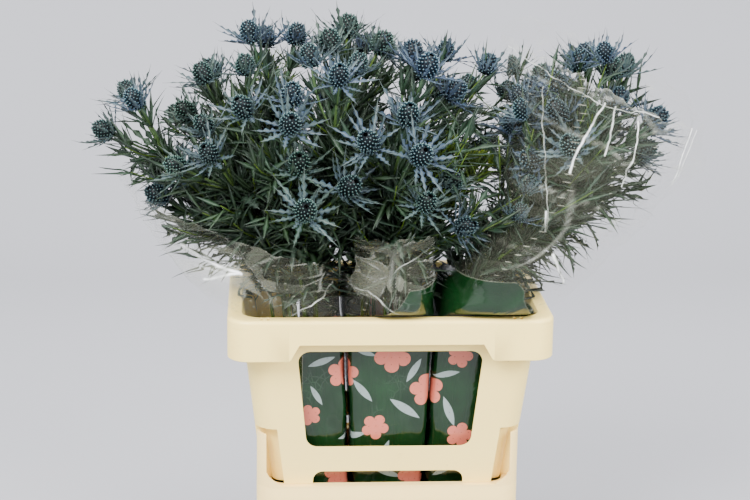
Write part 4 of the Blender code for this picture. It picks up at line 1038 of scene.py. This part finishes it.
def make_film(name, side, finish, rng):
    """One film sleeve: the solid's own wall at a fine grid, crumpled inwards, with a ragged upper edge. Its
    growth numbers are the painted glint of its creases and upper edge, how far inside the print a point is,
    and how crumpled it looks, which sets how strongly the painted crease glints and facet reflections show."""
    angle = 2 * math.pi * (np.arange(FILM_COLUMNS) + 0.5) / FILM_COLUMNS
    cosine, sine = np.cos(angle), np.sin(angle)

    def ring(height):
        middle, half_width, half_depth = sleeve_size(side, height)
        power = 2 / np.interp(height, FILM_LEVELS, FILM_SQUARENESS)
        x = middle + np.sign(cosine) * np.abs(cosine) ** power * half_width
        y = np.sign(sine) * np.abs(sine) ** power * half_depth
        return x, y

    jag = 0.006 * (triangle_wave(angle * 3.1 + side) - 0.5) + 0.004 * (triangle_wave(angle * 7.3 + 0.3) - 0.5)
    top = sleeve_top(side, *ring(np.full(FILM_COLUMNS, EDGE_OUTLINE_AT))) + jag - 0.004
    low = np.linspace(FILM_LEVELS[0], FILM_FINE_FROM, FILM_ROWS_LOW)[:, None] + 0 * angle
    high = FILM_FINE_FROM + (top - FILM_FINE_FROM) * np.linspace(0, 1, FILM_ROWS_HIGH)[1:, None]
    height = np.concatenate([low, high])
    x, y = ring(height)
    step = np.hypot(np.diff(x, axis=1, append=x[:, :1]), np.diff(y, axis=1, append=y[:, :1]))
    along = np.concatenate([np.zeros((len(x), 1)), np.cumsum(step, axis=1)[:, :-1]], axis=1)
    around_m = along[np.argmin(np.abs(height[:, 0] - SHEET_LAID_AT))][None] + 0 * x
    loose = np.clip((height - LOOSE_FROM) / LOOSE_OVER, 0.0, 1.0)
    crumple, crease_glint = film_crumples(around_m, height, rng)
    crumple = (crumple - crumple.mean()) * CRUMPLE_DEPTH * (0.18 + 0.82 * loose)
    inward = np.minimum(crumple, 0.0015 + 0.006 * loose)
    verts = np.stack([x + cosine * inward, y + sine * inward, height], -1)
    # Painted glint along the upper edge
    painted_edge_glint = np.clip(1 - (top[None] - height) / 0.0016, 0, 1) * PAINTED_EDGE_GLINT[side]
    crease_glint = np.maximum(crease_glint * (0.10 + 0.90 * loose), painted_edge_glint)
    if side == -1:
        across = x - LEFT_PRINT_FROM + 0.25 * np.clip(0.29 - height, 0, 1)
        inside = np.minimum(PRINT_TOP - 0.005 - height, across)
    else:
        to_right = np.clip((0.175 - x if side else x + 0.01) / 0.03, 0, 1)
        print_top = PRINT_TOP + 0.05 * to_right * (y < 0)
        inside = print_top + 0.010 * np.sin(around_m * 23) + 0.004 * np.sin(around_m * 61) - height
    printed = np.clip(0.5 + inside * 12, 0, 1)
    low_down = np.clip(1.25 - (height - 0.43) / 0.13, 0.35, 1.0)
    crumpled = CRUMPLED[side] * low_down * (0.12 + 0.88 * loose) * np.where(y < 0, 1.0, 0.8)
    shape = Shape()
    growth = np.stack([crease_glint, printed, crumpled], -1)
    shape.add(verts, grid_faces(len(x), FILM_COLUMNS, True), growth.reshape(-1, 3))
    return shape.finish(name, [finish], sheet=np.stack([around_m, height], -1).reshape(-1, 2))


# Stage, camera and lights


SWEEP_WIDE, SWEEP_FRONT, SWEEP_TOP = 6.0, -6.0, 5.0
SWEEP_BEND_FROM, SWEEP_BEND = 1.6, 1.4  # where the floor starts to curve up, and the curve's radius


def make_stage():
    """A pale seamless floor that curves up into a backdrop by a quarter circle."""
    m, shader = new_material("matt_paper_sweep")
    place = node(m, "TexCoord", out="Object")
    grain = node(m, "TexNoise", {"Vector": place, "Scale": 2.0})
    tone = node(m, "Mix", {0: grain, 6: linear("#98989C"), 7: linear("#9B9B9F")}, 2, data_type="RGBA")
    # Seen from its back the sweep is clear, so that the object can be looked at from behind
    behind = node(m, "NewGeometry", out="Backfacing")
    shown = node(m, "MapRange", {0: behind, 3: 1.0, 4: 0.0})
    node(m, shader, {"Base Color": tone, "Alpha": shown, "Roughness": 0.9, "Specular IOR Level": 0.1})
    turn = np.linspace(0, math.pi / 2, 24)
    bend = np.column_stack([SWEEP_BEND_FROM + SWEEP_BEND * np.sin(turn), SWEEP_BEND * (1 - np.cos(turn))])
    profile = np.concatenate([[(SWEEP_FRONT, 0.0)], bend, [(SWEEP_BEND_FROM + SWEEP_BEND, SWEEP_TOP)]])
    across = np.array((-SWEEP_WIDE, SWEEP_WIDE))
    verts = np.stack(np.broadcast_arrays(across[None], profile[:, :1], profile[:, 1:]), -1)
    shape = Shape()
    shape.add(verts, grid_faces(len(profile), 2), (0, 0, 0))
    shape.finish("studio_sweep", [m])


CAMERA_PLACE, CAMERA_LENS = (-0.0130, -2.256, 1.0405), 89.6
CAMERA_TURN, CAMERA_DOWN, CAMERA_ROLL = -3.5, 14.2, 0.7  # degrees
WORLD_COLOUR, WORLD_STRENGTH = (0.80, 0.82, 0.86, 1.0), 2.7
# Lamps: place, what they face, size, watts
LAMPS = {
    "key": ((-1.5, -2.2, 2.9), (0.0, 0.0, 0.45), (1.6, 1.6), 300.0),
    "fill": ((2.0, -2.0, 1.8), (0.0, 0.0, 0.45), (1.6, 1.6), 140.0),
    "top": ((0.0, 0.3, 2.6), (0.0, 0.0, 0.5), (2.4, 1.6), 50.0),
    "backdrop_light": ((0.0, -0.6, 3.4), (0.0, 2.6, 0.4), (3.0, 1.0), 90.0),
}


def make_camera_and_lights():
    """The photograph's view and plain soft studio lights."""
    scene = bpy.context.scene
    camera = bpy.data.cameras.new("view")
    camera.lens, camera.sensor_width = CAMERA_LENS, 36.0
    holder = bpy.data.objects.new("view", camera)
    scene.collection.objects.link(holder)
    turn = Euler((0.0, 0.0, math.radians(CAMERA_TURN))).to_quaternion()
    pitch = Euler((math.radians(90 - CAMERA_DOWN), 0.0, 0.0)).to_quaternion()
    roll = Quaternion((0.0, 0.0, 1.0), math.radians(CAMERA_ROLL))
    holder.location = turn @ Vector(CAMERA_PLACE)
    holder.rotation_euler = (turn @ pitch @ roll).to_euler()
    scene.camera = holder
    world = bpy.data.worlds.new("studio")
    world.use_nodes = True
    sky = world.node_tree.nodes["Background"].inputs
    sky["Color"].default_value, sky["Strength"].default_value = WORLD_COLOUR, WORLD_STRENGTH
    scene.world = world
    for name, (place, target, size, power) in LAMPS.items():
        lamp = bpy.data.lights.new(name, "AREA")
        lamp.shape, lamp.size, lamp.size_y, lamp.energy = "RECTANGLE", *size, power
        holder = bpy.data.objects.new(name, lamp)
        scene.collection.objects.link(holder)
        holder.location = place
        holder.rotation_euler = (Vector(target) - Vector(place)).to_track_quat("-Z", "Y").to_euler()


# Plant skins: colours along a stem or blade, the colours they drift to, roughness, and how pale the rib is
SKINS = {
    "sea_holly_stem": ([(0.0, "#4A6630"), (0.6, "#86A04E"), (1.0, "#8FA968")],
             [(0.0, "#3A5628"), (0.6, "#6F9048"), (1.0, "#7C9A86")], 0.45, 0.0),
    "sea_holly_bract": ([(0.0, "#7F9AA2"), (0.4, "#647F74"), (1.0, "#33463A")],
              [(0.0, "#8F9BC8"), (0.5, "#62779A"), (1.0, "#3E4360")], 0.40, 0.35),
    "sea_holly_leaf": ([(0.0, "#2E5218"), (0.5, "#284A1B"), (1.0, "#1F361C")],
             [(0.0, "#5B7D62"), (0.5, "#4A6B5C"), (1.0, "#2C3440")], 0.38, 0.25),
    "sea_holly_floret": ([(0.0, "#16241F"), (0.5, "#2C4A42"), (0.8, "#6E9484"), (1.0, "#BCD6C6")],
               [(0.0, "#16222E"), (0.5, "#2C4458"), (0.8, "#7490A0"), (1.0, "#C2D5D8")], 0.5, 0.0),
    "young_bract": ([(0.0, "#A9C25E"), (0.5, "#86A850"), (1.0, "#5F8244")],
                    [(0.0, "#8FB062"), (0.5, "#6E924E"), (1.0, "#54743E")], 0.45, 0.3),
    "young_floret": ([(0.0, "#6C8A2C"), (0.55, "#93B23C"), (1.0, "#DDE890")],
                     [(0.0, "#5C7A2C"), (0.55, "#86A83C"), (1.0, "#CFE080")], 0.5, 0.0),
}
GROWN_SKINS = ("sea_holly_stem", "sea_holly_bract", "sea_holly_leaf", "sea_holly_floret")
YOUNG_SKINS = ("sea_holly_stem", "young_bract", "young_bract", "young_floret")


def main():
    make_stage()
    make_camera_and_lights()
    cream = moulded_plastic("cream_moulded_polypropylene", "#F5DB84", "#F1D57E", "#D9BE6C")
    pink_cream = moulded_plastic("pinkish_cream_moulded_polypropylene", "#F5D68C", "#F1D084", "#D9BA74")
    film = printed_film("clear_printed_polypropylene_film")
    skins = {key: plant_skin(f"{key}_skin", *row) for key, row in SKINS.items()}
    pieces = [(make_collar(cream), "collar", "collar_plastic")]
    pieces.append((make_bucket(pink_cream), "bucket", "bucket_plastic"))
    rng = np.random.default_rng(SEED)
    sprays = plan_sprays(rng)
    plans = [grow(spray, rng) for spray in sprays]
    made_so_far = {True: 0, False: 0}
    for k, (spray, plan) in enumerate(zip(sprays, plans)):
        young = bool(spray.get("young"))
        made_so_far[young] += 1
        row = f"young_spray_{made_so_far[young]}" if young else f"spray_{made_so_far[young]:02d}"
        finishes = [skins[key] for key in (YOUNG_SKINS if young else GROWN_SKINS)]
        plant = make_spray(f"{row}_plant", spray, plan, finishes, np.random.default_rng(PLANT_SEED + k))
        pieces.append((plant, row, "young_sea_holly" if young else "sea_holly"))
    for side, row in ((-1, "sleeve_left"), (0, "sleeve_centre"), (1, "sleeve_right")):
        sleeve = make_film(f"{row}_film", side, film, np.random.default_rng(FILM_SEED + side))
        pieces.append((sleeve, row, "film"))
    for piece, row, slot in pieces:
        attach(piece, "root")
        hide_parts(row)
    water = frame["nodes"]["water"]
    water.data.materials.clear()
    water.data.materials.append(still_water("still_water"))


main()
